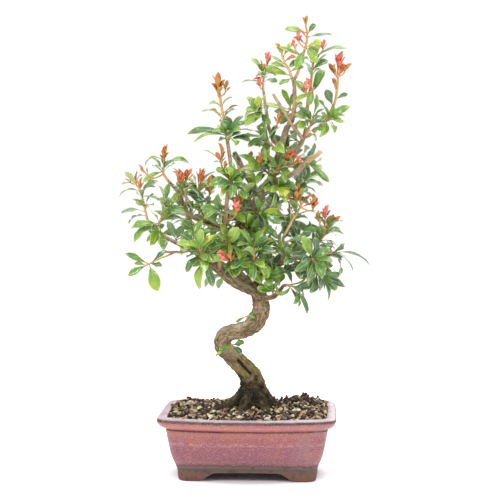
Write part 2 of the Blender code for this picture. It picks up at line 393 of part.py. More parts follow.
def finish(name, hex_colour, roughness, metallic=0.0):
    """A Principled material of one colour, given as sRGB hex."""
    material = bpy.data.materials.new(name)
    material.use_nodes = True
    shader = material.node_tree.nodes["Principled BSDF"]
    channels = [int(hex_colour[i:i + 2], 16) / 255 for i in (0, 2, 4)]
    linear = [c / 12.92 if c <= 0.04045 else ((c + 0.055) / 1.055) ** 2.4 for c in channels]
    shader.inputs["Base Color"].default_value = (*linear, 1.0)
    shader.inputs["Roughness"].default_value = roughness
    shader.inputs["Metallic"].default_value = metallic
    material.diffuse_color = (*linear, 1.0)
    return material


def solid(name, points, faces, material=None, link=True):
    """A mesh object from points and faces, its faces turned outwards."""
    mesh = bpy.data.meshes.new(name)
    mesh.from_pydata([tuple(p) for p in points], [], faces)
    bm = bmesh.new()
    bm.from_mesh(mesh)
    bmesh.ops.recalc_face_normals(bm, faces=bm.faces)
    bm.to_mesh(mesh)
    bm.free()
    obj = bpy.data.objects.new(name, mesh)
    if material:
        mesh.materials.append(material)
    if link:
        bpy.context.scene.collection.objects.link(obj)
    return obj


def combine(body, others, operation):
    """Join other solids to a body, or cut them out of it, and remove them."""
    if not others:
        return body
    group = bpy.data.collections.new(body.name + "_parts")
    for other in others:
        group.objects.link(other)
    step = body.modifiers.new(operation.lower(), "BOOLEAN")
    step.operation = operation
    step.operand_type = "COLLECTION"
    step.collection = group
    step.solver = "EXACT"
    graph = bpy.context.evaluated_depsgraph_get()
    joined = bpy.data.meshes.new_from_object(body.evaluated_get(graph))
    body.modifiers.clear()
    body.data = joined
    for other in others:
        bpy.data.objects.remove(other)
    bpy.data.collections.remove(group)
    return body


def seen_at(across, up, back):
    """Turn a point of the drawing into a place in metres."""
    rise = (up - AXIS_UP) / FOCAL_STEPS
    forward = math.cos(VIEW_TILT) + rise * math.sin(VIEW_TILT)
    reach = (VIEW_DISTANCE + back * MM) / forward
    right = reach * across / FOCAL_STEPS
    height = VIEW_HEIGHT + reach * (rise * math.cos(VIEW_TILT) - math.sin(VIEW_TILT))
    away = back * MM
    return Vector((
        right * math.cos(VIEW_TURN) + away * math.sin(VIEW_TURN),
        away * math.cos(VIEW_TURN) - right * math.sin(VIEW_TURN),
        height))


class Stem:
    """A tapered round stem through points, each with a radius. Its ends may be cut square."""

    def __init__(self, points, radii, ends=None):
        self.points = points
        self.radii = radii
        self.ends = ends
        self.marks = [0.0]
        for a, b in zip(points, points[1:]):
            self.marks.append(self.marks[-1] + (b - a).length)
        self.length = self.marks[-1]

    def at(self, distance):
        """The place, direction and radius at a distance along the stem."""
        i = 0
        while i < len(self.marks) - 2 and self.marks[i + 1] < distance:
            i += 1
        span = self.marks[i + 1] - self.marks[i]
        t = (distance - self.marks[i]) / span
        place = self.points[i].lerp(self.points[i + 1], t)
        radius = self.radii[i] + (self.radii[i + 1] - self.radii[i]) * t
        return place, (self.points[i + 1] - self.points[i]).normalized(), radius

    def nearest(self, place):
        """The distance along the stem that lies nearest to a place."""
        steps = 200
        return min((k * self.length / steps for k in range(steps + 1)),
                   key=lambda d: (self.at(d)[0] - place).length)

    def part(self, start, end):
        """The piece of the stem between two distances, with its cut faces square."""
        inner = [k for k, mark in enumerate(self.marks) if start + 0.8 * MM < mark < end - 0.8 * MM]
        first = self.at(start)
        last = self.at(end)
        points = [first[0]] + [self.points[k] for k in inner] + [last[0]]
        radii = [first[2]] + [self.radii[k] for k in inner] + [last[2]]
        return Stem(points, radii, (first[1], last[1]))

    def thinned(self, tolerance):
        """The same stem without the points that lie almost on a straight line."""
        keep = {0, len(self.points) - 1}
        spans = [(0, len(self.points) - 1)]
        while spans:
            first, last = spans.pop()
            chord = self.points[last] - self.points[first]
            worst, worst_at = tolerance, None
            for k in range(first + 1, last):
                away = self.points[k] - self.points[first]
                off = (away - chord * (away.dot(chord) / chord.length_squared)).length
                if off > worst:
                    worst, worst_at = off, k
            if worst_at:
                keep.add(worst_at)
                spans += [(first, worst_at), (worst_at, last)]
        kept = sorted(keep)
        return Stem([self.points[k] for k in kept], [self.radii[k] for k in kept], self.ends)

    def straight(self, end):
        """A straight piece from the stem's start to a square cut at a distance."""
        piece = self.part(0, end)
        return Stem([piece.points[0], piece.points[-1]], [piece.radii[0], piece.radii[-1]], piece.ends)

    def widened(self, share, extra):
        """The same stem, thicker, and longer at both ends."""
        points = list(self.points)
        points[0] = points[0] + (points[0] - points[1]).normalized() * extra
        points[-1] = points[-1] + (points[-1] - points[-2]).normalized() * extra
        return Stem(points, [r * share + extra for r in self.radii])

    def shape(self, sides, lumps=0.0):
        """Points and faces of the stem as a tube with flat ends."""
        points = []
        faces = []
        last = len(self.points) - 1
        normal = None
        for i, (place, radius) in enumerate(zip(self.points, self.radii)):
            direction = (self.points[min(i + 1, last)] - self.points[max(i - 1, 0)]).normalized()
            if self.ends and i in (0, last):
                direction = self.ends[0] if i == 0 else self.ends[1]
            if normal is None:
                normal = direction.orthogonal().normalized()
            normal = (normal - direction * normal.dot(direction)).normalized()
            across = direction.cross(normal)
            for k in range(sides):
                turn = 2 * math.pi * k / sides
                spoke = normal * math.cos(turn) + across * math.sin(turn)
                reach = radius
                if lumps:
                    reach *= 1 + lumps * noise.noise((place + spoke * radius) * LUMP_SCALE)
                points.append(place + spoke * reach)
        for i in range(last):
            for k in range(sides):
                n = (k + 1) % sides
                faces.append((i * sides + k, i * sides + n, (i + 1) * sides + n, (i + 1) * sides + k))
        faces.append(tuple(range(sides))[::-1])
        faces.append(tuple(range(last * sides, (last + 1) * sides)))
        return points, faces


def curve(points, radii, spacing):
    """A stem along a smooth curve through points."""
    places = []
    sizes = []
    for i in range(len(points) - 1):
        before = points[max(i - 1, 0)]
        after = points[min(i + 2, len(points) - 1)]
        count = max(1, round((points[i + 1] - points[i]).length / spacing))
        for k in range(count):
            t = k / count
            places.append(smooth(before, points[i], points[i + 1], after, t))
            sizes.append(radii[i] + (radii[i + 1] - radii[i]) * t)
    return Stem(places + [points[-1]], sizes + [radii[-1]])


def smooth(before, start, end, after, t):
    """A point on the smooth curve that passes through start and end."""
    return 0.5 * (2 * start + (end - before) * t
                  + (2 * before - 5 * start + 4 * end - after) * t * t
                  + (3 * start - before - 3 * end + after) * t * t * t)


def outline(t):
    """A leaf's half width at a place along it, as a share of its greatest half width."""
    share = max(0.0, (t - 0.1) / 0.9)
    return max(0.0, math.sin(math.pi * share ** 1.3)) ** 0.8


def blade_shape(leaf, swell=0.0, start=0.0):
    """Points and faces of a leaf: a folded blade where it is broad, else a keeled one."""
    along = leaf.tip - leaf.base
    side = along.cross(leaf.up).normalized()
    middle = (leaf.base + leaf.tip) / 2 + leaf.up * (2 * leaf.arch)
    folded = leaf.width > BROAD_LEAF
    stations = (start, 0.5) if leaf.width < NARROW_LEAF else (start, 0.38, 0.7)
    points = []
    for t in stations:
        place = leaf.base * (1 - t) ** 2 + middle * (2 * t * (1 - t)) + leaf.tip * (t * t)
        tangent = (middle - leaf.base) * (1 - t) + (leaf.tip - middle) * t
        normal = side.cross(tangent).normalized()
        half = max(PETIOLE, leaf.width * 0.53 * outline(t)) + swell
        lift = 0.22 * half if folded and t > start else 0.0
        rib = LEAF_THICKNESS + swell
        points.append(place - side * half + normal * lift)
        if folded or swell:
            points.append(place + normal * swell)
        points.append(place + side * half + normal * lift)
        points.append(place - normal * rib)
    count = len(points) // len(stations)
    last = (len(stations) - 1) * count
    points.append(leaf.tip + along.normalized() * swell)
    faces = [tuple(range(count))]
    for ring in range(0, last, count):
        for a in range(count):
            b = (a + 1) % count
            faces.append((ring + a, ring + count + a, ring + b))
            faces.append((ring + b, ring + count + a, ring + count + b))
    for a in range(count):
        faces.append((last + a, last + count, last + (a + 1) % count))
    return points, faces


class Thicket:
    """What is already placed, so that a new leaf can keep clear of it."""

    def __init__(self):
        self.items = []

    def add(self, owner, points, faces):
        low = Vector([min(p[i] for p in points) for i in range(3)])
        high = Vector([max(p[i] for p in points) for i in range(3)])
        self.items.append((owner, low, high, BVHTree.FromPolygons(points, faces)))

    def touches(self, owner, points, faces, same_owner):
        low = Vector([min(p[i] for p in points) for i in range(3)])
        high = Vector([max(p[i] for p in points) for i in range(3)])
        tree = None
        for name, other_low, other_high, other in self.items:
            if (name == owner) != same_owner:
                continue
            if any(low[i] > other_high[i] or high[i] < other_low[i] for i in range(3)):
                continue
            tree = tree or BVHTree.FromPolygons(points, faces)
            if tree.overlap(other):
                return True
        return False


def is_clear(thicket, owner, leaf):
    """Whether a leaf keeps clear of other pieces, and past its root of its own shoot."""
    if thicket.touches(owner, *blade_shape(leaf, LEAF_CLEARANCE), False):
        return False
    start = 0.3 if leaf.kind == "red" else 0.22
    return not thicket.touches(owner, *blade_shape(leaf, 0.1 * MM, start), True)


def upper_side(base, tip, direction, roll):
    """The way a leaf's upper face looks: towards the shoot's end, then rolled."""
    along = (tip - base).normalized()
    up = direction + Vector((0, 0, 0.35))
    up = (up - along * up.dot(along)).normalized()
    return Matrix.Rotation(roll, 3, along) @ up


def root_of(middle, direction, radius, tip):
    """Where a leaf's root starts: inside the stem, a little towards the leaf's side."""
    along = tip - middle
    spoke = (along - direction * along.dot(direction)).normalized()
    return middle + spoke * (0.35 * radius)


def grow_leaves(thicket, name, stem, placed, count, length, rng):
    """The leaves of one shoot: those set by hand, then further ones by rule."""
    leaves = []
    for place, across, up, back, width, arch, kind in placed:
        middle, direction, radius = stem.at(place * stem.length)
        for attempt in range(LEAF_TRIES):
            shift = (attempt + 1) // 2 * (6 if attempt % 2 else -6)
            shrink = 1 - 0.012 * attempt
            tip = middle.lerp(seen_at(across, up, back + shift), shrink)
            base = root_of(middle, direction, radius, tip)
            face = upper_side(base, tip, direction, rng.uniform(-0.5, 0.5))
            leaf = Leaf(base, tip, face, LEAF_BREADTH * width * shrink * MM, arch * MM, kind)
            if is_clear(thicket, name, leaf):
                thicket.add(name, *blade_shape(leaf))
                leaves.append(leaf)
                break
        else:
            print("no room:", name, across, up)
    turn = rng.uniform(0, 6.28)
    for k in range(count):
        turn += GOLDEN_TURN
        for attempt in range(LEAF_TRIES):
            place = (0.2 + 0.75 * (k + 0.5) / count) * stem.length + rng.uniform(-1, 1) * MM
            middle, direction, radius = stem.at(place)
            way_out = direction.orthogonal().normalized()
            spoke = Matrix.Rotation(turn + rng.uniform(-0.9, 0.9), 3, direction) @ way_out
            lean = rng.uniform(0.5, 1.25)
            reach = length * MM * rng.uniform(0.72, 1.1) * (1 - 0.02 * attempt)
            way = (direction * math.cos(lean) + spoke * math.sin(lean) + Vector((0, 0, -0.12))).normalized()
            tip = middle + way * reach
            base = root_of(middle, direction, radius, tip)
            face = upper_side(base, tip, direction, rng.uniform(-0.4, 0.4))
            width = reach * rng.uniform(0.22, 0.31)
            kind = "young" if rng.random() < 0.2 else "leaf"
            leaf = Leaf(base, tip, face, width, reach * rng.uniform(0.04, 0.13), kind)
            if is_clear(thicket, name, leaf):
                thicket.add(name, *blade_shape(leaf))
                leaves.append(leaf)
                break
    return leaves


def plan_tree():
    """Work out every stem and leaf of the tree, in metres."""
    stems = {"trunk": curve([seen_at(*p[:3]) for p in TRUNK], [p[3] * MM for p in TRUNK], 8.5 * MM)}
    wood = [("trunk", stems["trunk"], 9)]
    for number, root in enumerate(ROOTS):
        stem = curve([seen_at(*p[:3]) for p in root], [p[3] * MM for p in root], 15 * MM)
        wood.append(("root_%d" % number, stem, 6))
    for name, parent, first, last, route in LIMBS:
        stem = grow_from(stems[parent], route, first, last, 9 * MM).thinned(LIMB_TOLERANCE)
        stems[name] = stem
        wood.append((name, stem, 7 if first > 4 else 5 if first > 2.5 else TWIG_SIDES))
    thicket = Thicket()
    shoots = {}
    for name, parent, first, last, route, _, _, _ in SHOOTS:
        whole = grow_from(stems[parent], route, first, last, 7 * MM)
        cut = clear_of(stems[parent], whole)
        wood.append((name + "_stub", whole.straight(cut), TWIG_SIDES))
        shoots[name] = whole.part(cut + GAP, whole.length).thinned(TWIG_TOLERANCE)
    for name, stem, sides in wood:
        thicket.add("trunk", *stem.shape(sides))
    for name, stem in shoots.items():
        thicket.add(name, *stem.shape(TWIG_SIDES))
    tufts = {}
    for name, shoot, count, length, width, spread in TUFTS:
        tufts[name] = tuft(shoots[shoot], count, length * MM, width * MM, spread)
        for leaf in tufts[name][1]:
            thicket.add(name, *blade_shape(leaf))
    leaves = {}
    for number, (name, _, _, _, _, placed, count, length) in enumerate(SHOOTS):
        rng = random.Random(SEED + number)
        leaves[name] = grow_leaves(thicket, name, shoots[name], placed, count, length, rng)
    return wood, shoots, leaves, tufts


def grow_from(parent, route, first, last, spacing):
    """A stem whose first point is moved onto the middle of what it grows from."""
    points = [seen_at(*p) for p in route]
    points[0] = parent.at(parent.nearest(points[0]))[0]
    radii = [(first + (last - first) * k / (len(points) - 1)) * MM for k in range(len(points))]
    return curve(points, radii, spacing)


def clear_of(parent, stem):
    """The distance along a stem where it has left its parent's surface."""
    distance = 1.5 * MM
    while distance < 0.75 * stem.length:
        place, _, radius = stem.at(distance)
        middle, _, thickness = parent.at(parent.nearest(place))
        if (place - middle).length > thickness + radius + 0.9 * MM:
            break
        distance += 0.5 * MM
    return distance


def tuft(shoot, count, length, width, spread):
    """A tuft of upright young leaves on a shoot's end: its short stem, then its leaves."""
    place, direction, radius = shoot.at(shoot.length)
    start = place + direction * GAP
    stem = Stem([start, start + direction * 4 * MM], [radius, radius * 0.8])
    leaves = []
    for k in range(count):
        spoke = Matrix.Rotation(GOLDEN_TURN * k, 3, direction) @ direction.orthogonal().normalized()
        lean = spread * (0.35 + 0.65 * k / count)
        way = direction * math.cos(lean) + spoke * math.sin(lean)
        reach = length * (1 - 0.45 * k / count)
        base = start + direction * (1.2 + 2.6 * k / count) * MM + spoke * (0.4 * radius)
        tip = base + way * reach
        up = (direction - way * direction.dot(way)).normalized() if lean > 0.02 else spoke
        leaves.append(Leaf(base, tip, up, width * (1 - 0.3 * k / count), -0.6 * MM, "red"))
    return stem, leaves


def oblong(half_width, half_depth, radius, height, sag=0.0):
    """A ring of points round an oblong with round corners, its long sides sagging."""
    points = []
    for corner, (sx, sy) in enumerate(((1, 1), (-1, 1), (-1, -1), (1, -1))):
        for k in range(CORNER_STEPS + 1):
            turn = math.pi / 2 * (corner + k / CORNER_STEPS)
            points.append((
                sx * (half_width - radius) + radius * math.cos(turn),
                sy * (half_depth - radius) + radius * math.sin(turn)))
        if corner % 2 == 0:
            ahead = [(1 - 2 * t) * sx * (half_width - radius) for t in (0.22, 0.5, 0.78)]
            points += [(x, sy * half_depth) for x in ahead]
        else:
            points += [(sx * half_width, 0.0)]
    ring = []
    for x, y in points:
        drop = sag * (1 - (x / half_width) ** 2) if abs(y) > half_depth * 0.6 else 0.0
        bow = SIDE_BOW * (x / half_width) * (1 - (y / half_depth) ** 2)
        ring.append(Vector((x + bow, y, height - drop)))
    return ring


def loft(rings, close_first, close_last):
    """Points and faces of a skin over rings of equal count."""
    count = len(rings[0])
    points = [p for ring in rings for p in ring]
    faces = []
    for i in range(len(rings) - 1):
        for k in range(count):
            n = (k + 1) % count
            faces.append((i * count + k, i * count + n, (i + 1) * count + n, (i + 1) * count + k))
    if close_first:
        faces.append(tuple(range(count))[::-1])
    if close_last:
        faces.append(tuple(range((len(rings) - 1) * count, len(rings) * count)))
    return points, faces


def pot_ring(inset, height, radius):
    """A ring of the pot, set in from the rim's outer edge. The lip sags in the middle."""
    share = max(0.0, (height * MM - SAG_START) / (RIM_HEIGHT - SAG_START))
    if height * MM > LIP_HEIGHT:
        share = 1.0
    half_width = RIM_HALF_WIDTH - inset * MM
    half_depth = RIM_HALF_DEPTH - inset * MM
    return oblong(half_width, half_depth, radius * MM, height * MM, RIM_SAG * share)


def make_pot():
    """The glazed pot: feet, tapered body, moulded lip, flat rim, hollow inside."""
    section = POT_UNDERSIDE + POT_OUTSIDE + POT_LIP + POT_INSIDE
    points, faces = loft([pot_ring(*p) for p in section], True, True)
    pot = solid("pot", points, faces, finish("glazed_stoneware", "B06F72", 0.35))
    cutters = [arch_cutter(ARCH_TOP_HALF, ARCH_FOOT_HALF, 2 * RIM_HALF_DEPTH, 0)]
    cutters.append(arch_cutter(ARCH_TOP_HALF - SIDE_ARCH_SHRINK, ARCH_FOOT_HALF - SIDE_ARCH_SHRINK,
                               2 * RIM_HALF_WIDTH, math.pi / 2))
    for x in DRAIN_PLACES:
        bm = bmesh.new()
        bmesh.ops.create_cone(bm, cap_ends=True, segments=DRAIN_SIDES, radius1=DRAIN_RADIUS, radius2=DRAIN_RADIUS,
                              depth=2 * FLOOR_TOP, matrix=Matrix.Translation((x, 0, FLOOR_TOP)))
        mesh = bpy.data.meshes.new("drain")
        bm.to_mesh(mesh)
        bm.free()
        cutters.append(bpy.data.objects.new("drain", mesh))
    return combine(pot, cutters, "DIFFERENCE")


def arch_cutter(top_half, foot_half, depth, turn):
    """The space under the pot between two feet, with its curved shoulders."""
    shoulder = []
    for k in range(SHOULDER_STEPS + 1):
        t = k / SHOULDER_STEPS
        rise = ARCH_HEIGHT * (0.5 - 0.5 * math.cos(math.pi * t)) ** 1.25
        shoulder.append((foot_half + (top_half - foot_half) * t, rise - 0.2 * MM * (1 - t)))
    side = [(foot_half + 0.4 * MM, -2 * MM)] + shoulder
    profile = side + [(-x, z) for x, z in reversed(side)]
    rings = [[Vector((x, y, z)) for x, z in profile] for y in (-depth / 2 - MM, depth / 2 + MM)]
    rotation = Matrix.Rotation(turn, 3, "Z")
    points, faces = loft(rings, True, True)
    return solid("arch", [rotation @ p for p in points], faces, link=False)


def make_screens():
    """A square plastic grid over each drain hole."""
    material = finish("black_plastic", "26282A", 0.6)
    half = SCREEN_WIDTH / 2
    hole = (SCREEN_WIDTH - 3 * SCREEN_BAR) / 2
    cuts = [-half, -half + SCREEN_BAR, -SCREEN_BAR / 2, SCREEN_BAR / 2, SCREEN_BAR / 2 + hole, half]
    for number, x in enumerate(DRAIN_PLACES):
        bm = bmesh.new()
        corners = {(i, j): bm.verts.new((x + cuts[i], cuts[j], 0)) for i in range(6) for j in range(6)}
        for i in range(5):
            for j in range(5):
                if i % 2 == 0 or j % 2 == 0:
                    bm.faces.new([corners[a] for a in ((i, j), (i + 1, j), (i + 1, j + 1), (i, j + 1))])
        skin = bmesh.ops.extrude_face_region(bm, geom=bm.faces[:])
        lifted = [v for v in skin["geom"] if isinstance(v, bmesh.types.BMVert)]
        bmesh.ops.translate(bm, verts=lifted, vec=(0, 0, SCREEN_THICKNESS))
        bmesh.ops.translate(bm, verts=bm.verts, vec=(0, 0, FLOOR_TOP + GAP))
        bmesh.ops.recalc_face_normals(bm, faces=bm.faces)
        mesh = bpy.data.meshes.new("drain_screen_%d" % (number + 1))
        bm.to_mesh(mesh)
        bm.free()
        mesh.materials.append(material)
        bpy.context.scene.collection.objects.link(bpy.data.objects.new(mesh.name, mesh))


def soil_height(x, y):
    """The level of the soil: it rises to the back, round the trunk and at the bark heap."""
    level = SOIL_FRONT + SOIL_RISE * min(1.0, max(0.0, (y + RIM_HALF_DEPTH) / (1.6 * RIM_HALF_DEPTH)))
    for middle_x, middle_y, size, rise in (BARK_HEAP, ROOT_MOUND):
        away = math.hypot(x - middle_x, y - middle_y) / size
        level += rise * math.exp(-away * away)
    return level


def make_soil(wood):
    """The granular soil that fills the pot, with plain holes where the roots stand."""
    rng = random.Random(SEED)
    half_width = RIM_HALF_WIDTH - SOIL_INSET
    half_depth = RIM_HALF_DEPTH - SOIL_INSET
    edge = oblong(half_width, half_depth, SOIL_CORNER, 0)
    rim = []
    for a, b in zip(edge, edge[1:] + edge[:1]):
        pieces = max(1, round((b - a).length / (1.3 * SOIL_GRAIN)))
        rim += [a.lerp(b, k / pieces) for k in range(pieces)]
    inner = []
    columns = int(2 * RIM_HALF_WIDTH / SOIL_GRAIN)
    rows = int(2 * RIM_HALF_DEPTH / SOIL_GRAIN)
    half_x = half_width - 0.6 * SOIL_GRAIN
    half_y = half_depth - 0.6 * SOIL_GRAIN
    for i in range(columns):
        for j in range(rows):
            x = -RIM_HALF_WIDTH + (i + 0.5) * SOIL_GRAIN + rng.uniform(-2.2, 2.2) * MM
            y = -RIM_HALF_DEPTH + (j + 0.5) * SOIL_GRAIN + rng.uniform(-2.2, 2.2) * MM
            corner = math.hypot(max(0.0, abs(x) - half_x + 6 * MM), max(0.0, abs(y) - half_y + 6 * MM))
            if abs(x) < half_x and abs(y) < half_y and corner < 7 * MM:
                inner.append(Vector((x, y, 0)))
    flat = [p.to_2d() for p in rim + inner]
    loop = [(k, (k + 1) % len(rim)) for k in range(len(rim))]
    plan = geometry.delaunay_2d_cdt(flat, loop, [tuple(range(len(rim)))], 1, 1e-7)
    points = []
    for k, place in enumerate(plan[0]):
        level = soil_height(place.x, place.y)
        if k < len(rim):
            level = min(level, SOIL_FRONT)
            level -= RIM_SAG * (1 - (place.x / RIM_HALF_WIDTH) ** 2) if abs(place.y) > 40 * MM else 0.0
        else:
            level += rng.uniform(-1, 1) * SOIL_ROUGHNESS
        points.append(Vector((place.x, place.y, level)))
    faces = [tuple(face) for face in plan[2]]
    ring = list(range(len(rim)))
    for inset, height in SOIL_BOTTOM:
        first = len(points)
        scale_x = (RIM_HALF_WIDTH - inset * MM) / half_width
        scale_y = (RIM_HALF_DEPTH - inset * MM) / half_depth
        points += [Vector((p.x * scale_x, p.y * scale_y, height * MM)) for p in rim]
        ring_next = list(range(first, first + len(rim)))
        for k in range(len(rim)):
            n = (k + 1) % len(rim)
            faces.append((ring[k], ring_next[k], ring_next[n], ring[n]))
        ring = ring_next
    faces.append(tuple(ring))
    soil = solid("soil", points, faces, finish("potting_grit", "8C7A62", 0.9))
    pockets = []
    for x in DRAIN_PLACES:
        bm = bmesh.new()
        size = (SCREEN_WIDTH + 2 * GAP, SCREEN_WIDTH + 2 * GAP, 4 * MM)
        place = Vector((x, 0, FLOOR_TOP + GAP + SCREEN_THICKNESS + GAP - 2 * MM))
        bmesh.ops.create_cube(bm, size=1.0, matrix=Matrix.LocRotScale(place, None, Vector(size)))
        mesh = bpy.data.meshes.new("pocket")
        bm.to_mesh(mesh)
        bm.free()
        pockets.append(bpy.data.objects.new("pocket", mesh))
    soil = combine(soil, pockets, "DIFFERENCE")
    holes = []
    for name, stem, sides in wood:
        if name == "trunk" or name.startswith("root"):
            wide = stem.widened(1.04, HOLE_CLEARANCE)
            lumps = BARK_LUMPS if name == "trunk" else 0
            holes.append(solid(name + "_hole", *wide.shape(sides, lumps), link=False))
    return combine(soil, holes, "DIFFERENCE")


def make_wood(wood):
    """Trunk, roots, limbs and cut stubs, grown as one piece."""
    material = finish("pomegranate_bark", "8A7257", 0.85)
    _, stem, sides = wood[0]
    trunk = solid("trunk", *stem.shape(sides, BARK_LUMPS), material)
    limbs = [solid(name, *part.shape(number), link=False) for name, part, number in wood[1:]]
    return combine(trunk, limbs, "UNION")


def make_sprays(shoots, leaves, tufts):
    """Each leafy shoot as one solid, and each red tuft as another."""
    green = finish("pomegranate_leaf", "4F8A34", 0.4)
    red = finish("red_new_leaf", "D2603F", 0.45)
    for name, stem in shoots.items():
        body = solid(name, *stem.shape(TWIG_SIDES), green)
        combine(body, [solid("blade", *blade_shape(leaf), link=False) for leaf in leaves[name]], "UNION")
    for name, (stem, blades) in tufts.items():
        body = solid(name, *stem.shape(TWIG_SIDES), red)
        combine(body, [solid("blade", *blade_shape(leaf), link=False) for leaf in blades], "UNION")


def centre_on_box():
    """Move every piece level, so that the origin is under the middle of the whole box."""
    meshes = [obj.data for obj in bpy.context.scene.objects]
    low = [min(v.co[i] for mesh in meshes for v in mesh.vertices) for i in range(2)]
    high = [max(v.co[i] for mesh in meshes for v in mesh.vertices) for i in range(2)]
    shift = Vector((-(low[0] + high[0]) / 2, -(low[1] + high[1]) / 2, 0.0))
    for mesh in meshes:
        mesh.transform(Matrix.Translation(shift))
    print("middle of the pot", round(shift.x, 6), round(shift.y, 6))


def main():
    for obj in list(bpy.data.objects):
        bpy.data.objects.remove(obj)
    wood, shoots, leaves, tufts = plan_tree()
    make_pot()
    make_screens()
    make_soil(wood)
    make_wood(wood)
    make_sprays(shoots, leaves, tufts)
    centre_on_box()
    print("leaves", sum(len(v) for v in leaves.values()))


main()
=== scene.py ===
# %% [markdown]
# # A pomegranate bonsai
# A small pomegranate tree grows in a glazed oblong pot. The tree is one piece of wood, bent like
# an S, with glossy leafy shoots and red young tips. The pot and the layout of the tree come from
# the packed solids. This lesson gives every piece its real surface: glaze, grit, bark, moss and
# several hundred thin leaves.

# %% Load the solids
import json
import math
import random
from collections import namedtuple

import bmesh
import bpy
import numpy as np
from mathutils import Matrix, Vector, noise
from mathutils.bvhtree import BVHTree
from mathutils.kdtree import KDTree

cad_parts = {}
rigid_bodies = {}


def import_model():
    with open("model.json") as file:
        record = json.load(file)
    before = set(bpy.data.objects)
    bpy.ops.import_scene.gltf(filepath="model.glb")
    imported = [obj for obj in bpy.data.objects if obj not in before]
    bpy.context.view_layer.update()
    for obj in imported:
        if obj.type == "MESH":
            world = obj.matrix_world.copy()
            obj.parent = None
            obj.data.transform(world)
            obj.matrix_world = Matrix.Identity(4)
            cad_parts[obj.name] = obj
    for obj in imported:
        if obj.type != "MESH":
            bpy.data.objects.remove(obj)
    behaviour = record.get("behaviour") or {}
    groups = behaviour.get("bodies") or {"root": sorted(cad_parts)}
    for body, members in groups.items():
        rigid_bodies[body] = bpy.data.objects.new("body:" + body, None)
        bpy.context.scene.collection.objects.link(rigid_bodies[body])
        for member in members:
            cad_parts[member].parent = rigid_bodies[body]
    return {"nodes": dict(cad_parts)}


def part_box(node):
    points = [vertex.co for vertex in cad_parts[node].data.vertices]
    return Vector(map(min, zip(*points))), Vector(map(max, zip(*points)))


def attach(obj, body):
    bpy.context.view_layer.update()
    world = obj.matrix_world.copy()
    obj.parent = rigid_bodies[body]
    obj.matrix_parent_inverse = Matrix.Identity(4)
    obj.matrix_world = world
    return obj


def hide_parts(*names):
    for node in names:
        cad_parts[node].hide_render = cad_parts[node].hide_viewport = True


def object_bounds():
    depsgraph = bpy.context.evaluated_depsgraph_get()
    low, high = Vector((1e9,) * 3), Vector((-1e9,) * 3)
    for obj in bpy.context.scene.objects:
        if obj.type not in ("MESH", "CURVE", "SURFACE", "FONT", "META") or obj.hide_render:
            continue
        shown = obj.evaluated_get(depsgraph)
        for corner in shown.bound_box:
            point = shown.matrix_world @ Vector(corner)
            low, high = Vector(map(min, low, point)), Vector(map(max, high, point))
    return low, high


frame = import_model()
solid_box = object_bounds()
MM = 0.001
# No two solids touch, so a gap of this width parts each shoot from the wood.
GAP = 0.3 * MM
pot_low, pot_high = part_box("pot")
POT_MIDDLE = Vector(((pot_low.x + pot_high.x) / 2, (pot_low.y + pot_high.y) / 2, 0.0))
print("solids:", len(frame["nodes"]), "middle of the pot:", [round(v / MM, 1) for v in POT_MIDDLE])

# %% [markdown]
# ## The camera
# The pot's rim is seen from a little above, and the tall tree shows no converging lines, so the
# viewpoint is far away with a long lens. The same viewpoint is used below as a drawing board:
# a place on the tree is written as steps across and up in the picture, and a depth.

# %% The camera
VIEW_DISTANCE = 1.6
VIEW_HEIGHT = 0.3295
VIEW_TURN = math.radians(-3.0)
VIEW_TILT = math.radians(2.4)
FOCAL_STEPS = 1370.0
PICTURE_STEPS = 500
AXIS_UP = 215.0
SENSOR_WIDTH = 36.0
lens = bpy.data.cameras.new("camera")
lens.sensor_width = SENSOR_WIDTH
lens.lens = FOCAL_STEPS / PICTURE_STEPS * SENSOR_WIDTH
camera = bpy.data.objects.new("camera", lens)
stand = Vector((-math.sin(VIEW_TURN), -math.cos(VIEW_TURN), 0)) * VIEW_DISTANCE
camera.location = POT_MIDDLE + stand + Vector((0, 0, VIEW_HEIGHT))
camera.rotation_euler = (math.pi / 2 - VIEW_TILT, 0, -VIEW_TURN - math.atan(1 / FOCAL_STEPS))
bpy.context.scene.collection.objects.link(camera)
bpy.context.scene.camera = camera
print("lens:", round(lens.lens, 1), "mm")


# %% [markdown]
# ## From the drawing to the room
# One function turns a point of the drawing into a place. Everything is worked out from the
# middle of the pot, and moved to the pot's own place when a mesh is made.

# %% A place from a point of the drawing
def clamp(value, high=1.0):
    """A value kept between 0 and a highest value."""
    return max(0.0, min(high, value))


def fade(distance, reach):
    """A soft bump: 1 in its middle, and close to 0 at twice its reach."""
    return math.exp(-(distance / reach) ** 2)


def seen_at(across, up, back):
    """Turn a point of the drawing into a place in metres, from the middle of the pot."""
    rise = (up - AXIS_UP) / FOCAL_STEPS
    away = back * MM
    reach = (VIEW_DISTANCE + away) / (math.cos(VIEW_TILT) + rise * math.sin(VIEW_TILT))
    right = reach * across / FOCAL_STEPS
    return Vector((right * math.cos(VIEW_TURN) + away * math.sin(VIEW_TURN),
                   away * math.cos(VIEW_TURN) - right * math.sin(VIEW_TURN),
                   VIEW_HEIGHT + reach * (rise * math.cos(VIEW_TILT) - math.sin(VIEW_TILT))))


print("a point on the base line:", [round(v / MM, 1) for v in seen_at(0, 0, 0)])

# %% [markdown]
# ## Tables as text
# The routes and leaves of the tree are hundreds of numbers, drawn over the picture one by one.
# They read better without brackets, so the tables are kept as plain text and read here.

# %% Reading tables
KINDS = {"y": "young", "r": "red"}
USUAL_PAIRS = ["5", "30"]


def read_numbers(text):
    """Rows of numbers, with a comma between two rows."""
    return [tuple(map(float, row.split())) for row in text.split(",")]


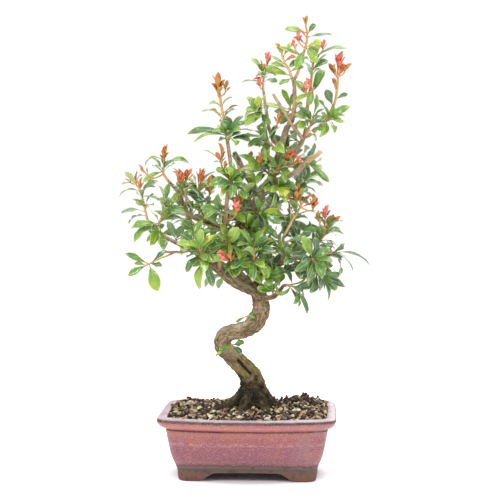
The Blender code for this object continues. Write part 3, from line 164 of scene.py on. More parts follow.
def read_leaves(text):
    """Rows of numbers that may end in y or r, for a young or a red leaf."""
    rows = [row.split() for row in text.split(",") if row.strip()]
    return [(*[float(v) for v in row if v not in KINDS], KINDS.get(row[-1], "leaf")) for row in rows]


def read_rows(text):
    """Limbs or shoots: a semicolon ends a row, and bars part its fields."""
    rows = []
    for row in text.split(";")[:-1]:
        head, route, *more = row.split("|")
        name, parent, *radii = head.split()
        fields = [name, parent, *map(float, radii), read_numbers(route)]
        if more:
            count, length, pairs, pair_length = map(int, (more[1].split() + USUAL_PAIRS)[:4])
            fields += [read_leaves(more[0]), count, length, (pairs, pair_length)]
        rows.append(fields)
    return rows


print("a row:", read_leaves(".5 -16 188 y"))

# %% [markdown]
# ## The trunk and its roots
# An old bonsai trunk flares where it meets the soil and runs out into surface roots. The trunk
# swings left, turns back sharply and climbs: its route and its thickness are a list of points.

# %% The route of the trunk and of the roots
# The trunk's route, with its radius in millimetres as a fourth value.
TRUNK = read_numbers("""
4 36 8 9, 4 48 8 19, 4 57 8 24.5, 4.5 65 7 21, 4.5 71.5 6 17.2, 4.3 77 6 14.8, 4 82 5 13.4,
1.5 90 5 11.7, -6 98.5 4 10.6, -13 105.5 3 9.8, -19 111.5 2 9.6, -24.5 116.3 1 9.8, -27.3 123 0 10,
-24.5 129.7 -2 9.9, -18 132.7 -4 9.7, -11 133.6 -5 9.5, -4 135.4 -6 9.3, 3 139 -5 9.4, 9 146 -2 9.3,
12 155 2 9.4, 11.9 162 4 8.9, 10.8 168 5 9, 9.5 173 6 7.6""")

# Surface roots: each starts inside the trunk's foot and dives into the soil.
ROOTS = [read_numbers(root) for root in """
2 78 4 10, -8 69 -2 8, -20 62 -8 6.5, -31 56 -13 5, -38 49 -16 3;
6 78 4 10, 14 70 4 8, 22 64 4 6, 29 58 4 4, 34 51 4 2.5;
2 76 2 9, -2 66 -10 8, -6 58 -20 6, -10 51 -28 4, -12 45 -32 3;
6 76 2 9, 11 66 -10 7, 16 58 -20 5.5, 21 50 -27 3;
3 76 10 9, -3 69 22 8, -9 63 33 6, -14 56 42 3.5;
7 76 10 9, 13 69 20 7, 21 64 30 5, 27 57 38 3""".split(";")]
print("trunk points:", len(TRUNK), "roots:", len(ROOTS))

# %% [markdown]
# ## The limbs
# Each limb leaves the trunk or another limb. A taper from the first radius to the last is
# enough, because young wood thins steadily.

# %% The routes of the limbs
# Limbs: name, what they grow from, first and last radius in millimetres, and the route.
LIMBS = read_rows("""
leader trunk 7 3.4 | 10.5 168 5, 8 176 7, 3 181.5 9, -6 186 11, -13 193 14, -16 204 17, -16 217 20,
-14 230 20, -8 243 18, 1 257 14, 10 268 10, 19 281 6, 24 291 4, 28 302 2, 31 315 0, 34 325 0, 38 337 2;
mast leader 3 1.9 | 38 337 2, 44 348 4, 46 365 6, 45.5 375 6, 45 385 5;
low_limb trunk 5 2.9 | 10 167 3, 4 173 -4, -6 177 -9, -15 182 -12, -23 188 -14, -30 194 -15, -41 202 -18,
-49 209 -20, -54 216 -21, -61 224 -23, -65 229 -24;
spire low_limb 2.4 1.7 | -30 194 -15, -29 205 -17, -27 218 -16, -24 240 -14, -22 265 -11, -20 279 -9,
-18 295 -7, -20 313 -6, -22 326 -5;
left_limb low_limb 2.8 1.3 | -52 212 -20, -61 216 -16, -71 221 -13, -81 226.5 -11, -91 233 -10, -99 239 -8,
-110 244 -6;
left_low_twig left_limb 1.6 1.2 | -58 215 -17, -66 213 -26, -75 213 -32, -84 213 -38;
upper_left leader 3 1.9 | -14 232 20, -27 237 17, -39 242 10, -49 245 5, -59 250 0, -65 259 -2, -71 273 -4,
-78 281 -4;
dead_top leader 3.6 2.8 | 10 268 10, 4 279 14, -3 290 18, -8 300 20, -15 313 22;
tan_stub leader 3.2 2.4 | 20 283 6, 30 285 0, 46 293 -6, 56 302 -9, 66 309 -11, 72 314 -12;
right_limb leader 3.4 2.2 | 23 289 4, 39 300 10, 45 310 12, 51 320 14, 55 328 15;
right_stem right_limb 1.9 1.5 | 55 328 15, 57 338 15, 58 350 14, 59 365 12, 61 374 11;
right_arm right_limb 2 1.5 | 55 327 15, 62 331 20, 69 337 23, 76 345 25, 83 356 26;
tan_twig right_limb 1.9 1.4 | 54 326 14, 50 331 3, 43 340 -9, 37 350 -12, 29 363 -12, 24 371 -12;
left_top leader 2 1.3 | 31 315 0, 24 327 -3, 20 337 -4, 18 350 -6, 16 362 -6, 15 371 -6;
base_branch trunk 3.2 2 | 12.5 165 3, 19 167 -3, 24 167.5 -6, 29 172 -10, 34 179 -13;
right_back leader 2.8 1.8 | 9 174 7, 16 179 14, 25 187 20, 33 194 26, 42 199 30, 52 203 31, 62 206 30;
right_mid trunk 2.8 1.5 | 11 170 4, 17 180 0, 23 191 -4, 31 200 -9, 42 205 -13, 54 207 -16;
right_riser right_mid 1.8 1.4 | 31 200 -9, 33 210 -9, 34 219 -8, 34 227 -6;
front_stem trunk 2 1.5 | 10 172 4, 12 179 -6, 10 188 -15, 7 197 -23;
back_limb leader 2.6 1.6 | -16 210 18, -11 219 32, -4 228 45, 3 238 58;
back_right leader 2.4 1.6 | 8 266 10, 17 263 26, 28 262 41, 38 266 52;
back_left upper_left 2 1.5 | -27 237 17, -34 235 32, -43 234 44, -51 238 54;
""")
print("limbs:", len(LIMBS))

# %% [markdown]
# ## The leafy shoots
# A pomegranate shoot is a straight young stem with narrow leaves all round it. The leaves that
# stand out are set one by one. The others follow by rule.

# %% The routes and the chosen leaves of the shoots
# Leafy shoots: name, what they grow from, first and last radius, route, listed leaves,
# then the number of further leaves and their length in millimetres, and at some the number and
# length of further pairs. A listed leaf gives its place along the shoot, its tip across, up
# and back, its width and arch, and y or r when young or red.
SHOOTS = read_rows("""
shoot_far_left left_limb 1.2 .8 | -99 239 -8, -102 247 -6, -104 256 -4, -106 265 -2, -109 274 0, -113 281 3,
-119 290 5 | .62 -130 268 12 7 5, .6 -91 285 -12 7 2, .52 -84 261 -16 8 2, .3 -112 264 -14 7 1,
.25 -96 261 -16 8 1, .2 -128 252 6 7 3, .12 -121 243 -12 7 3, .74 -124 294 -8 6 1 y, .8 -112 294 8 4 0 r |
1 28 3 22;
shoot_left_cluster left_limb 1.2 .8 | -90 232 -10, -91 238 -17, -89 244 -22, -85 255 -26, -84 265 -28 |
.2 -116 226 -30 10 4, .26 -118 237 -26 9 4, .16 -99 219 -38 8 2, .22 -88 217 -42 8 2, .5 -94 254 -38 7 1,
.98 -93 284 -30 8 1, .6 -64 252 -36 8 5, .4 -66 246 -18 8 5, .9 -80 283 -36 7 0 | 1 28;
shoot_left_low left_low_twig 1 .8 | -74 213 -31, -82 209 -34, -90 206 -37, -104 199 -40 |
.95 -126 212 -48 8 3, .97 -121 189 -34 7 2, .75 -87 193 -54 6 2, .92 -92 174 -44 11 2, .98 -105 186 -50 9 1,
.85 -115 204 -26 6 2 y | 0 24 2 24;
shoot_left_spire upper_left 1.5 .9 | -78 281 -4, -83 287 -4, -86 293 -4, -85 300 -5, -84.5 307 -5 |
.5 -98 309 -10 7 1, .55 -75 305 -16 7 1, .6 -60 304 6 6 6, .9 -105 300 -2 6 6, .45 -106 283 -14 6 2
| 1 26 2 20;
shoot_left_fan upper_left 1.3 .9 | -65 259 -2, -63 265 -7, -64 274 -9, -64 283 -9 | .6 -74 298 -18 5 1,
.95 -76 295 -10 4 0 r, .97 -70 297 -16 4 0 r, .98 -62 296 -12 4 0 r, .7 -50 268 -20 7 3, .5 -78 262 -22 7 3
| 1 26 3 23;
shoot_left_inner upper_left 1.2 .8 | -49 245 5, -50 254 10, -52 268 13, -50 280 14 | .8 -61 297 20 7 2,
.7 -60 284 2 6 2, .85 -34 293 22 8 4, .98 -52 294 18 4 0 r, .99 -45 297 14 4 0 r | 2 27;
shoot_olive upper_left 1.1 .8 | -38 242 10, -41 250 5, -42 260 2, -40 268 2, -39 276 2 |
.97 -36 290 0 7 1 r, .6 -53 262 -10 8 3, .4 -30 254 -12 7 3 | 2 26 3 25;
shoot_mid_left low_limb 1.3 .8 | -41 202 -18, -43 206 -28, -47 211 -38, -50 217 -46 | .6 -63 193 -44 8 3,
.5 -44 193 -52 8 3, .35 -51 176 -38 8 2, .3 -36 178 -34 8 2, .9 -47 236 -56 9 2, .95 -72 222 -56 7 4 | 1 28;
shoot_low_bud leader 1.9 1 | -16 203 17, -14 204 4, -11.5 205.5 -8, -17 207 -15, -24 208 -19 |
.5 -16 188 -22 12 2, .48 13 182 -26 8 4, .55 -46 197 -8 9 3, .99 -33 211 -22 5 0 r, .98 -31 207 -26 5 0 r,
.6 1 198 -34 9 3 | 1 28;
shoot_spire_low spire 1.2 .9 | -20 279 -9, -18 281 -14, -17 285 -20 | .9 -23 296 -26 11 1 y,
.8 -40 281 -24 8 4, .85 -8 293 -30 7 2, .9 -18 267 -34 8 4 | 1 26;
shoot_spire_mid spire 1.1 .9 | -21 322 -5, -20 326 -11, -20 331 -15 | .9 -27 345 -18 9 1, .85 -1 344 -8 7 3,
.8 2 335 -22 7 3, .9 -8 350 -24 6 2, .85 -62 333 -10 7 6, .8 -55 327 -24 6 3 | 0 26;
shoot_spire_top spire 1.7 1.1 | -22 326 -5, -23 335 -4, -26 350 -3, -28 361 -3, -29 370 -2 |
.7 -17 368 -8 6 2 y, .68 -40 361 -6 6 3 y, .5 -48 354 -10 5 3, .45 -14 356 -12 8 1, .35 -38 356 8 5 1 r,
.55 -12 361 8 4 0 r | 0 22 1 14;
shoot_spire_red spire 1 .8 | -19 286 -8, -24 290 -13, -27 298 -15, -28 306 -15 | .98 -30 322 -15 7 1 r,
.9 -33 313 -22 4 0 r, .9 -24 314 -8 4 0 r, .85 -45 315 -18 6 2 y | 0 24 2 15;
shoot_centre_red upper_left 1.4 1 | -24 236 18, -20 245 8, -17 253 0, -13 258 -6, -10 263 -8, -13 271 -8,
-14 281 -7, -11 293 -5, -8 303 -3 | .36 -17 266 -18 5 0 r, .38 -6 268 -20 5 0 r, .4 -12 268 -24 5 0 r,
.38 4 284 -18 13 1 y, .25 -4 243 -18 10 3 | 1 27;
shoot_top mast 1.6 .9 | 45 385 5, 49 393 4, 52 405 3, 55 413 2, 58 425 1, 58 433 0, 57 438 0 |
.85 35 437 -4 7 2, .9 66 442 -8 5 1 y, .86 66 421 -14 5 2, .84 83 432 8 7 5, .8 48 436 -8 4 0 r,
.7 43 426 -10 5 1 y, .5 60 415 -14 9 2, .35 40 412 -8 6 2 | 1 26 2 21;
shoot_right_top right_stem 1.5 1 | 61 374 11, 62 382 10, 63 391 10, 64 401 9, 66 408 8 |
.85 64 420 0 10 1 y, .95 73 424 6 8 1 y, .9 98 417 14 7 6, .6 50 403 18 7 2, .55 79 404 18 7 3 | 1 27 2 25;
shoot_right_stem right_stem 1.2 .9 | 60.5 368 11, 63 372 5, 65 378 -1 | .8 76 396 -6 12 2,
.9 57 387 -6 5 0 r, .7 47 365 -8 7 2 y, .85 60 360 -14 7 2 | 1 26 2 25;
shoot_left_top left_top 1.3 .9 | 15 371 -6, 14 378 -7, 15 388 -8, 18 399 -8 | .3 -8 383 -12 8 2,
.35 28 384 4 7 2, .45 12 394 -18 8 1 y, .5 4 386 -20 4 0 r, .6 7 390 4 4 0 r, .65 24 400 -18 7 1 y,
.99 17 412 -10 6 0 r, .97 22 410 -4 4 0 r | 1 25 2 21;
shoot_left_top_low left_top 1.1 .9 | 18 347 -6, 14 350 -12, 10 354 -17 | .85 -3 356 -22 7 2,
.7 22 341 -24 7 2, .9 9 369 -22 7 1 y, .75 -4 341 -26 8 3 | 1 26;
shoot_mast_low mast 1.2 .9 | 45 352 5, 43 355 12, 40 357 18 | .8 8 362 14 8 3, .85 35 377 22 7 2,
.9 30 345 26 8 3, .85 54 362 30 7 3 | 1 27;
shoot_mast_high mast 1.3 1 | 45.5 378 6, 43 387 3, 40 395 0, 36 402 -2, 33 410 -3, 34 418 -3 |
.25 22 394 -12 7 2, .5 47 408 -10 4 0 r, .55 22 405 6 6 2, .8 26 420 -8 5 1 y, .9 44 424 6 5 1 y | 1 25 2 21;
shoot_right_spire right_arm 1.5 1 | 83 356 26, 86 363 26, 88 374 26, 89 386 25, 89 396 25 |
.2 77 376 16 6 1, .6 83 385 18 6 0 r, .8 80 402 20 6 1 r, .85 97 400 30 6 1 r, .4 99 370 34 6 2 | 1 22 2 15;
shoot_right_arm right_arm 1.1 .9 | 75 344 25, 78 344 18, 81 346 12 | .85 100 359 4 7 5, .7 86 333 0 7 2,
.9 70 366 8 8 1, .8 97 342 16 7 3 | 1 26 2 24;
shoot_right_fork right_limb 1.3 .9 | 54 326 15, 58 332 8, 62 341 3, 65 350 0 | .3 67 324 -8 6 2,
.95 68 371 -6 8 1, .6 80 338 -6 7 3, .7 50 358 -6 7 2 | 1 26;
shoot_right_limb right_limb 1.2 .8 | 44 308 12, 49 308 20, 54 306 25, 58 302 27 | .9 80 283 14 6 4,
.7 66 318 26 6 2, .8 50 290 34 7 3, .95 74 296 40 7 4 | 1 27;
shoot_right_fan leader 1.3 .9 | 22 286 5, 25 292 -6, 29 297 -11, 34 302 -14 | .6 16 310 -22 7 1,
.5 37 283 -26 7 3, .7 20 300 -32 6 2 | 0 24;
shoot_leader_left leader 1.3 .9 | 31 314 0, 25 318 -9, 20 322 -14, 14 327 -17 | .9 -1 319 -22 8 3,
.95 1 336 -20 7 2, .85 13 343 -14 8 2, .7 31 338 -24 7 2, .6 16 305 -28 8 3 | 2 28;
shoot_leader_low leader 1.2 .9 | 22 288 4, 19 292 -5, 14 297 -12 | .85 17 322 -18 9 1 y, .8 -4 298 -18 7 3,
.85 -10 311 -12 7 3, .75 8 282 -26 7 3 | 1 26;
shoot_leader_right leader 1.2 .9 | 17 279 7, 23 279 -2, 28 279 -9 | .85 36 268 -16 12 3 y,
.75 14 264 -16 8 3, .8 22 258 -22 7 2, .9 49 277 -16 7 3 | 1 27;
shoot_centre_top leader 1.3 .9 | 0 256 14, 6 254 4, 11 251 -6 | .9 29 257 -12 8 2 y, .85 35 250 -2 7 3,
.8 32 241 -16 7 3, .9 17 237 -22 7 3, .85 -7 249 -14 8 2, .9 8 268 -20 7 1 | 1 27;
shoot_centre_mid leader 1.3 .9 | -10 240 19, -6 238 8, -1 235 -4 | .95 -2 212 -16 5 1 y, .9 4 213 -8 5 1 y,
.85 -17 226 -20 11 3, .9 19 223 -20 11 4, .8 2 250 -20 8 2 | 1 28;
shoot_centre_bright spire 1.1 .9 | -27 220 -16, -23 220 -24, -19 221 -31 | .85 -11 238 -38 11 2 y,
.8 -30 242 -34 9 2 y, .85 -40 219 -44 8 3, .9 -9 206 -44 9 3, .75 -33 204 -40 8 3 | 1 28;
shoot_centre_front front_stem 1.4 .9 | 7 197 -23, 5 203 -29, 5 210 -35, 4 217 -40 | .2 20 189 -40 12 3,
.5 -18 196 -44 8 3, .7 25 214 -48 9 3, .9 -8 236 -46 8 2, .8 14 236 -50 8 2, .4 4 184 -52 8 2 | 1 28;
shoot_base_right base_branch 1.7 .9 | 34 179 -13, 38 180 -15, 43 179 -16, 48 176 -17 | .98 58 151 -16 7 2,
.7 46 161 -24 7 3, .8 55 168 -6 7 3, .4 28 172 -28 8 3, .5 36 196 -24 7 2 | 1 27 3 26;
shoot_right_low right_back 1.4 .8 | 55 204 31, 60 199 22, 66 194 14, 73 190 6 | .7 62 172 4 8 3,
.75 71 173 14 8 3, .92 81 165 4 8 2, .95 88 175 12 8 3, .98 96 178 -2 7 3, .8 50 190 4 7 3 | 1 28;
shoot_rosette right_mid 1.3 .9 | 54 207 -16, 58 207 -20, 62 206 -26, 64 206 -32 | .9 54 229 -34 9 2 y,
.95 66 228 -42 8 2, .9 80 217 -36 8 2, .95 84 203 -40 8 3, .9 74 187 -40 8 3, .95 60 184 -44 8 3,
.9 46 194 -40 8 3, .95 41 210 -36 7 2 | 1 28;
shoot_far_right right_back 1.5 .9 | 62 206 30, 70 209 26, 80 212 21, 88 213 17 | .97 121 201 10 6 6,
.9 92 188 6 7 3, .93 104 193 26 7 4, .8 97 207 0 6 2, .7 78 226 40 7 2, .5 74 190 38 8 3 | 1 27 4 26;
shoot_riser right_riser 1.4 1 | 34 227 -6, 37 233 -6, 41 240 -6, 45 247 -5, 49 254 -4, 52 260 -3, 50 269 -2
| .55 43 265 -16 8 1, .75 38 268 -6 4 0 r, .5 76 249 -8 6 6, .78 62 270 4 4 1 r, .72 69 262 -6 4 1 r,
.3 24 243 2 7 2 | 1 26 3 23;
shoot_right_tips right_back 1.3 .9 | 61 206 30, 64 213 25, 71 224 18, 76 231 14, 80 237 12 |
.85 94 247 2 7 3, .5 86 216 4 7 2, .8 91 236 24 6 2, .9 71 249 4 6 0 r, .6 62 241 2 9 2 | 1 26;
shoot_right_inner right_riser 1.2 .9 | 34 222 -8, 40 224 -2, 47 226 4, 53 229 8 | .9 61 244 2 9 2,
.7 36 240 14 8 2, .8 64 222 18 8 3, .6 48 212 14 8 3 | 1 27;
shoot_back_limb back_limb 1.5 .9 | 3 238 58, 7 245 64, 12 253 69, 15 262 72 | | 7 32;
shoot_back_low back_limb 1.3 .9 | -9 222 36, -3 218 46, 6 215 54, 15 213 60 | | 7 32;
shoot_back_right back_right 1.5 .9 | 38 266 52, 44 270 57, 50 277 61, 55 286 62 | | 7 30;
shoot_back_side back_right 1.3 .9 | 26 262 38, 30 254 46, 36 246 52, 43 239 56 | | 7 31;
shoot_back_left back_left 1.4 .9 | -51 238 54, -57 243 58, -63 251 61, -68 260 62 | | 7 30;
shoot_back_inner back_left 1.3 .9 | -38 235 38, -37 227 46, -38 219 53, -41 212 58 | | 7 30;
sprout_bend trunk 1 .8 | -21 114 1, -20 117 -8, -18 119 -15, -16 121 -18 | .98 -6 126 -20 6 2,
.95 -8 112 -22 7 2, .9 -32 118 -22 6 2 | 0 12 1 9;
sprout_top trunk 1 .8 | -4 135.4 -6, -3 143 -9, -2 149 -10 | .95 -13 151 -12 4 1 y, .98 5 154 -14 4 1 y |
0 12 1 8;
""")
print("shoots:", len(SHOOTS), "leaves set by hand:", sum(len(s[5]) for s in SHOOTS))

# %% [markdown]
# ## Tufts of new leaves
# The tallest shoots end in upright red leaves that have only just opened.

# %% The tufts
# Tufts of red new leaves on the ends of the tallest shoots: name, shoot, number of leaves,
# and their length, width and spread.
TUFTS = [
    ("tip_spire", "shoot_spire_top", 5, 25, 5.0, 0.24),
    ("tip_right_spire", "shoot_right_spire", 5, 18, 4.5, 0.45),
    ("tip_top", "shoot_top", 3, 12, 4.0, 0.35),
    ("tip_left_spire", "shoot_left_spire", 3, 15, 3.8, 0.2),
    ("tip_right_fan", "shoot_right_fan", 5, 20, 5.0, 0.55),
    ("tip_riser", "shoot_riser", 4, 14, 4.5, 0.3),
    ("tip_right", "shoot_right_tips", 4, 18, 5.0, 0.36),
]
print("tufts:", len(TUFTS))

# %% [markdown]
# ## Stems
# Every stem is a tapered tube along a smooth curve. One small class keeps its points and
# radii, and can find a place along the stem, cut a piece out of it and skin it.

# %% The skin of a tube
def tube_faces(rings, count):
    """The faces of a closed skin over rings of points, each of the same count."""
    faces = []
    for low in range(0, (rings - 1) * count, count):
        high = low + count
        faces += [(low + k, low + (k + 1) % count, high + (k + 1) % count, high + k) for k in range(count)]
    return faces + [tuple(range(count))[::-1], tuple(range((rings - 1) * count, rings * count))]


print("faces of a box:", len(tube_faces(2, 4)))


# %% Stems
NEAREST_STEPS = 200
CUT_MARGIN = 0.8 * MM


class Stem:
    """A tapered round stem through points, each with a radius. Its ends may be cut square."""

    def __init__(self, points, radii, ends=None):
        self.points = points
        self.radii = radii
        self.ends = ends
        self.marks = [0.0]
        for a, b in zip(points, points[1:]):
            self.marks.append(self.marks[-1] + (b - a).length)
        self.length = self.marks[-1]

    def at(self, distance):
        """The place, direction and radius at a distance along the stem."""
        i = 0
        while i < len(self.marks) - 2 and self.marks[i + 1] < distance:
            i += 1
        span = self.marks[i + 1] - self.marks[i]
        t = (distance - self.marks[i]) / span
        place = self.points[i].lerp(self.points[i + 1], t)
        radius = self.radii[i] + (self.radii[i + 1] - self.radii[i]) * t
        return place, (self.points[i + 1] - self.points[i]).normalized(), radius

    def nearest(self, place):
        """The distance along the stem that lies nearest to a place."""
        return min((k * self.length / NEAREST_STEPS for k in range(NEAREST_STEPS + 1)),
                   key=lambda d: (self.at(d)[0] - place).length)

    def part(self, start, end):
        """The piece of the stem between two distances, with its cut faces square."""
        inner = [k for k, mark in enumerate(self.marks) if start + CUT_MARGIN < mark < end - CUT_MARGIN]
        first = self.at(start)
        last = self.at(end)
        points = [first[0]] + [self.points[k] for k in inner] + [last[0]]
        radii = [first[2]] + [self.radii[k] for k in inner] + [last[2]]
        return Stem(points, radii, (first[1], last[1]))

    def thinned(self, tolerance):
        """The same stem without the points that lie almost on a straight line."""
        keep = {0, len(self.points) - 1}
        spans = [(0, len(self.points) - 1)]
        while spans:
            first, last = spans.pop()
            chord = self.points[last] - self.points[first]
            worst, worst_at = tolerance, None
            for k in range(first + 1, last):
                away = self.points[k] - self.points[first]
                off = (away - chord * (away.dot(chord) / chord.length_squared)).length
                if off > worst:
                    worst, worst_at = off, k
            if worst_at:
                keep.add(worst_at)
                spans += [(first, worst_at), (worst_at, last)]
        kept = sorted(keep)
        return Stem([self.points[k] for k in kept], [self.radii[k] for k in kept], self.ends)

    def straight(self, end):
        """A straight piece from the stem's start to a square cut at a distance."""
        piece = self.part(0, end)
        return Stem([piece.points[0], piece.points[-1]], [piece.radii[0], piece.radii[-1]], piece.ends)

    def shape(self, sides):
        """Points and faces of the stem as a tube with flat ends."""
        points = []
        last = len(self.points) - 1
        normal = None
        for i, (place, radius) in enumerate(zip(self.points, self.radii)):
            direction = (self.points[min(i + 1, last)] - self.points[max(i - 1, 0)]).normalized()
            if self.ends and i in (0, last):
                direction = self.ends[0] if i == 0 else self.ends[1]
            if normal is None:
                normal = direction.orthogonal().normalized()
            normal = (normal - direction * normal.dot(direction)).normalized()
            across = direction.cross(normal)
            for k in range(sides):
                turn = 2 * math.pi * k / sides
                spoke = normal * math.cos(turn) + across * math.sin(turn)
                points.append(place + spoke * radius)
        return points, tube_faces(last + 1, sides)


def curve(points, radii, spacing):
    """A stem along a smooth curve through points."""
    places = []
    sizes = []
    for i in range(len(points) - 1):
        before = points[max(i - 1, 0)]
        after = points[min(i + 2, len(points) - 1)]
        count = max(1, round((points[i + 1] - points[i]).length / spacing))
        for k in range(count):
            t = k / count
            places.append(smooth(before, points[i], points[i + 1], after, t))
            sizes.append(radii[i] + (radii[i + 1] - radii[i]) * t)
    return Stem(places + [points[-1]], sizes + [radii[-1]])


def smooth(before, start, end, after, t):
    """A point on the smooth curve that passes through start and end."""
    return 0.5 * (2 * start + (end - before) * t
                  + (2 * before - 5 * start + 4 * end - after) * t * t
                  + (3 * start - before - 3 * end + after) * t * t * t)


trunk_places = [seen_at(*p[:3]) for p in TRUNK]
print("the trunk is", round(curve(trunk_places, [0] * len(TRUNK), MM).length / MM), "mm long")

# %% [markdown]
# ## Where every leaf sits
# A leaf is first only a plan: where it starts, where it ends, which way its face looks, how
# wide it is and how much it arches. A rough blade of each plan is kept in a list, and a new
# leaf looks for a place where it touches none of them, as real leaves do on their way to light.

# %% Leaf plans
LEAF_THICKNESS = 0.85 * MM
LEAF_BREADTH = 1.15
PETIOLE = 0.55 * MM
NARROW_LEAF = 7.0 * MM
BROAD_LEAF = 10.5 * MM
LEAF_CLEARANCE = 0.7 * MM
LEAF_TRIES = 14
GOLDEN_TURN = 2.4
SEED = 41
Leaf = namedtuple("Leaf", "base tip up width arch kind")


def outline(t, lean=1.3, fullness=0.8):
    """A leaf's half width at a place along it: widest past its middle, with a blunt tip."""
    share = max(0.0, (t - 0.1) / 0.9)
    return max(0.0, math.sin(math.pi * share ** lean)) ** fullness


def midrib(leaf, t):
    """A place on a leaf's arched midrib, and the way it runs there."""
    middle = (leaf.base + leaf.tip) / 2 + leaf.up * (2 * leaf.arch)
    place = leaf.base * (1 - t) ** 2 + middle * (2 * t * (1 - t)) + leaf.tip * (t * t)
    return place, ((middle - leaf.base) * (1 - t) + (leaf.tip - middle) * t).normalized()


def blade_shape(leaf, swell=0.0, start=0.0):
    """Points and faces of a leaf: a folded blade where it is broad, else a keeled one."""
    along = leaf.tip - leaf.base
    side = along.cross(leaf.up).normalized()
    folded = leaf.width > BROAD_LEAF
    stations = (start, 0.5) if leaf.width < NARROW_LEAF else (start, 0.38, 0.7)
    points = []
    for t in stations:
        place, tangent = midrib(leaf, t)
        normal = side.cross(tangent).normalized()
        half = max(PETIOLE, leaf.width * 0.53 * outline(t)) + swell
        lift = 0.22 * half if folded and t > start else 0.0
        rib = LEAF_THICKNESS + swell
        points.append(place - side * half + normal * lift)
        if folded or swell:
            points.append(place + normal * swell)
        points.append(place + side * half + normal * lift)
        points.append(place - normal * rib)
    count = len(points) // len(stations)
    last = (len(stations) - 1) * count
    points.append(leaf.tip + along.normalized() * swell)
    faces = [tuple(range(count))]
    for ring in range(0, last, count):
        for a in range(count):
            b = (a + 1) % count
            faces.append((ring + a, ring + count + a, ring + b))
            faces.append((ring + b, ring + count + a, ring + count + b))
    for a in range(count):
        faces.append((last + a, last + count, last + (a + 1) % count))
    return points, faces


print("a rough leaf is widest at", max(range(101), key=lambda k: outline(k / 100)), "% of its length")


# %% Keeping leaves apart
def box_of(points):
    """The lowest and the highest corner of the box round some points."""
    return [[pick(p[i] for p in points) for i in range(3)] for pick in (min, max)]


class Thicket:
    """What is already placed, so that a new leaf can keep clear of it."""

    def __init__(self):
        self.items = []

    def add(self, owner, points, faces):
        """Remember a body of a piece."""
        self.items.append((owner, *box_of(points), BVHTree.FromPolygons(points, faces)))

    def touches(self, owner, points, faces, same_owner):
        """Whether a body touches one of its own piece, or else one of another piece."""
        low, high = box_of(points)
        tree = None
        for name, other_low, other_high, other in self.items:
            if (name == owner) != same_owner:
                continue
            if any(low[i] > other_high[i] or high[i] < other_low[i] for i in range(3)):
                continue
            tree = tree or BVHTree.FromPolygons(points, faces)
            if tree.overlap(other):
                return True
        return False


def is_clear(thicket, owner, leaf, clearance=LEAF_CLEARANCE):
    """Whether a leaf keeps clear of other pieces, and past its root of its own shoot."""
    if thicket.touches(owner, *blade_shape(leaf, clearance), False):
        return False
    start = 0.3 if leaf.kind == "red" else 0.22
    return not thicket.touches(owner, *blade_shape(leaf, 0.1 * MM, start), True)


def upper_side(base, tip, direction, roll):
    """The way a leaf's upper face looks: towards the shoot's end, then rolled."""
    along = (tip - base).normalized()
    up = direction + Vector((0, 0, 0.35))
    up = (up - along * up.dot(along)).normalized()
    return Matrix.Rotation(roll, 3, along) @ up


def spoke_of(direction, turn):
    """A direction square to a stem, turned round it."""
    return Matrix.Rotation(turn, 3, direction) @ direction.orthogonal().normalized()


def root_of(middle, direction, radius, tip):
    """Where a leaf's root starts: inside the stem, a little towards the leaf's side."""
    along = tip - middle
    spoke = (along - direction * along.dot(direction)).normalized()
    return middle + spoke * (0.35 * radius)


print("tries for each leaf:", LEAF_TRIES)


# %% [markdown]
# ## Growing a shoot
# The chosen leaves come first. Then further leaves turn round the stem by the angle at which
# many plants grow, so that none stands right above the one below it.

# %% Growing the leaves of one shoot
def grow_leaves(thicket, name, stem, placed, count, length, rng):
    """The leaves of one shoot: those listed, then further ones by rule."""
    leaves = []
    for place, across, up, back, width, arch, kind in placed:
        middle, direction, radius = stem.at(place * stem.length)
        for attempt in range(LEAF_TRIES):
            shift = (attempt + 1) // 2 * (6 if attempt % 2 else -6)
            shrink = 1 - 0.012 * attempt
            tip = middle.lerp(seen_at(across, up, back + shift), shrink)
            base = root_of(middle, direction, radius, tip)
            face = upper_side(base, tip, direction, rng.uniform(-0.5, 0.5))
            leaf = Leaf(base, tip, face, LEAF_BREADTH * width * shrink * MM, arch * MM, kind)
            if is_clear(thicket, name, leaf):
                thicket.add(name, *blade_shape(leaf))
                leaves.append(leaf)
                break
        else:
            print("no room:", name, across, up)
    turn = rng.uniform(0, 6.28)
    for k in range(count):
        turn += GOLDEN_TURN
        for attempt in range(LEAF_TRIES):
            place = (0.2 + 0.75 * (k + 0.5) / count) * stem.length + rng.uniform(-1, 1) * MM
            middle, direction, radius = stem.at(place)
            spoke = spoke_of(direction, turn + rng.uniform(-0.9, 0.9))
            lean = rng.uniform(0.5, 1.25)
            reach = length * MM * rng.uniform(0.72, 1.1) * (1 - 0.02 * attempt)
            way = (direction * math.cos(lean) + spoke * math.sin(lean) + Vector((0, 0, -0.12))).normalized()
            tip = middle + way * reach
            base = root_of(middle, direction, radius, tip)
            face = upper_side(base, tip, direction, rng.uniform(-0.4, 0.4))
            width = reach * rng.uniform(0.22, 0.31)
            kind = "young" if rng.random() < 0.2 else "leaf"
            leaf = Leaf(base, tip, face, width, reach * rng.uniform(0.04, 0.13), kind)
            if is_clear(thicket, name, leaf):
                thicket.add(name, *blade_shape(leaf))
                leaves.append(leaf)
                break
    return leaves


print("degrees from leaf to leaf:", round(math.degrees(GOLDEN_TURN)))


# %% Stems that grow from stems, and tufts
FIRST_CUT = 1.5 * MM
CUT_STEP = 0.5 * MM
CUT_CLEARANCE = 0.9 * MM
LATEST_CUT = 0.75
TUFT_STEM = 4 * MM


def grow_from(parent, route, first, last, spacing):
    """A stem whose first point is moved onto the middle of what it grows from."""
    points = [seen_at(*p) for p in route]
    points[0] = parent.at(parent.nearest(points[0]))[0]
    radii = [(first + (last - first) * k / (len(points) - 1)) * MM for k in range(len(points))]
    return curve(points, radii, spacing)


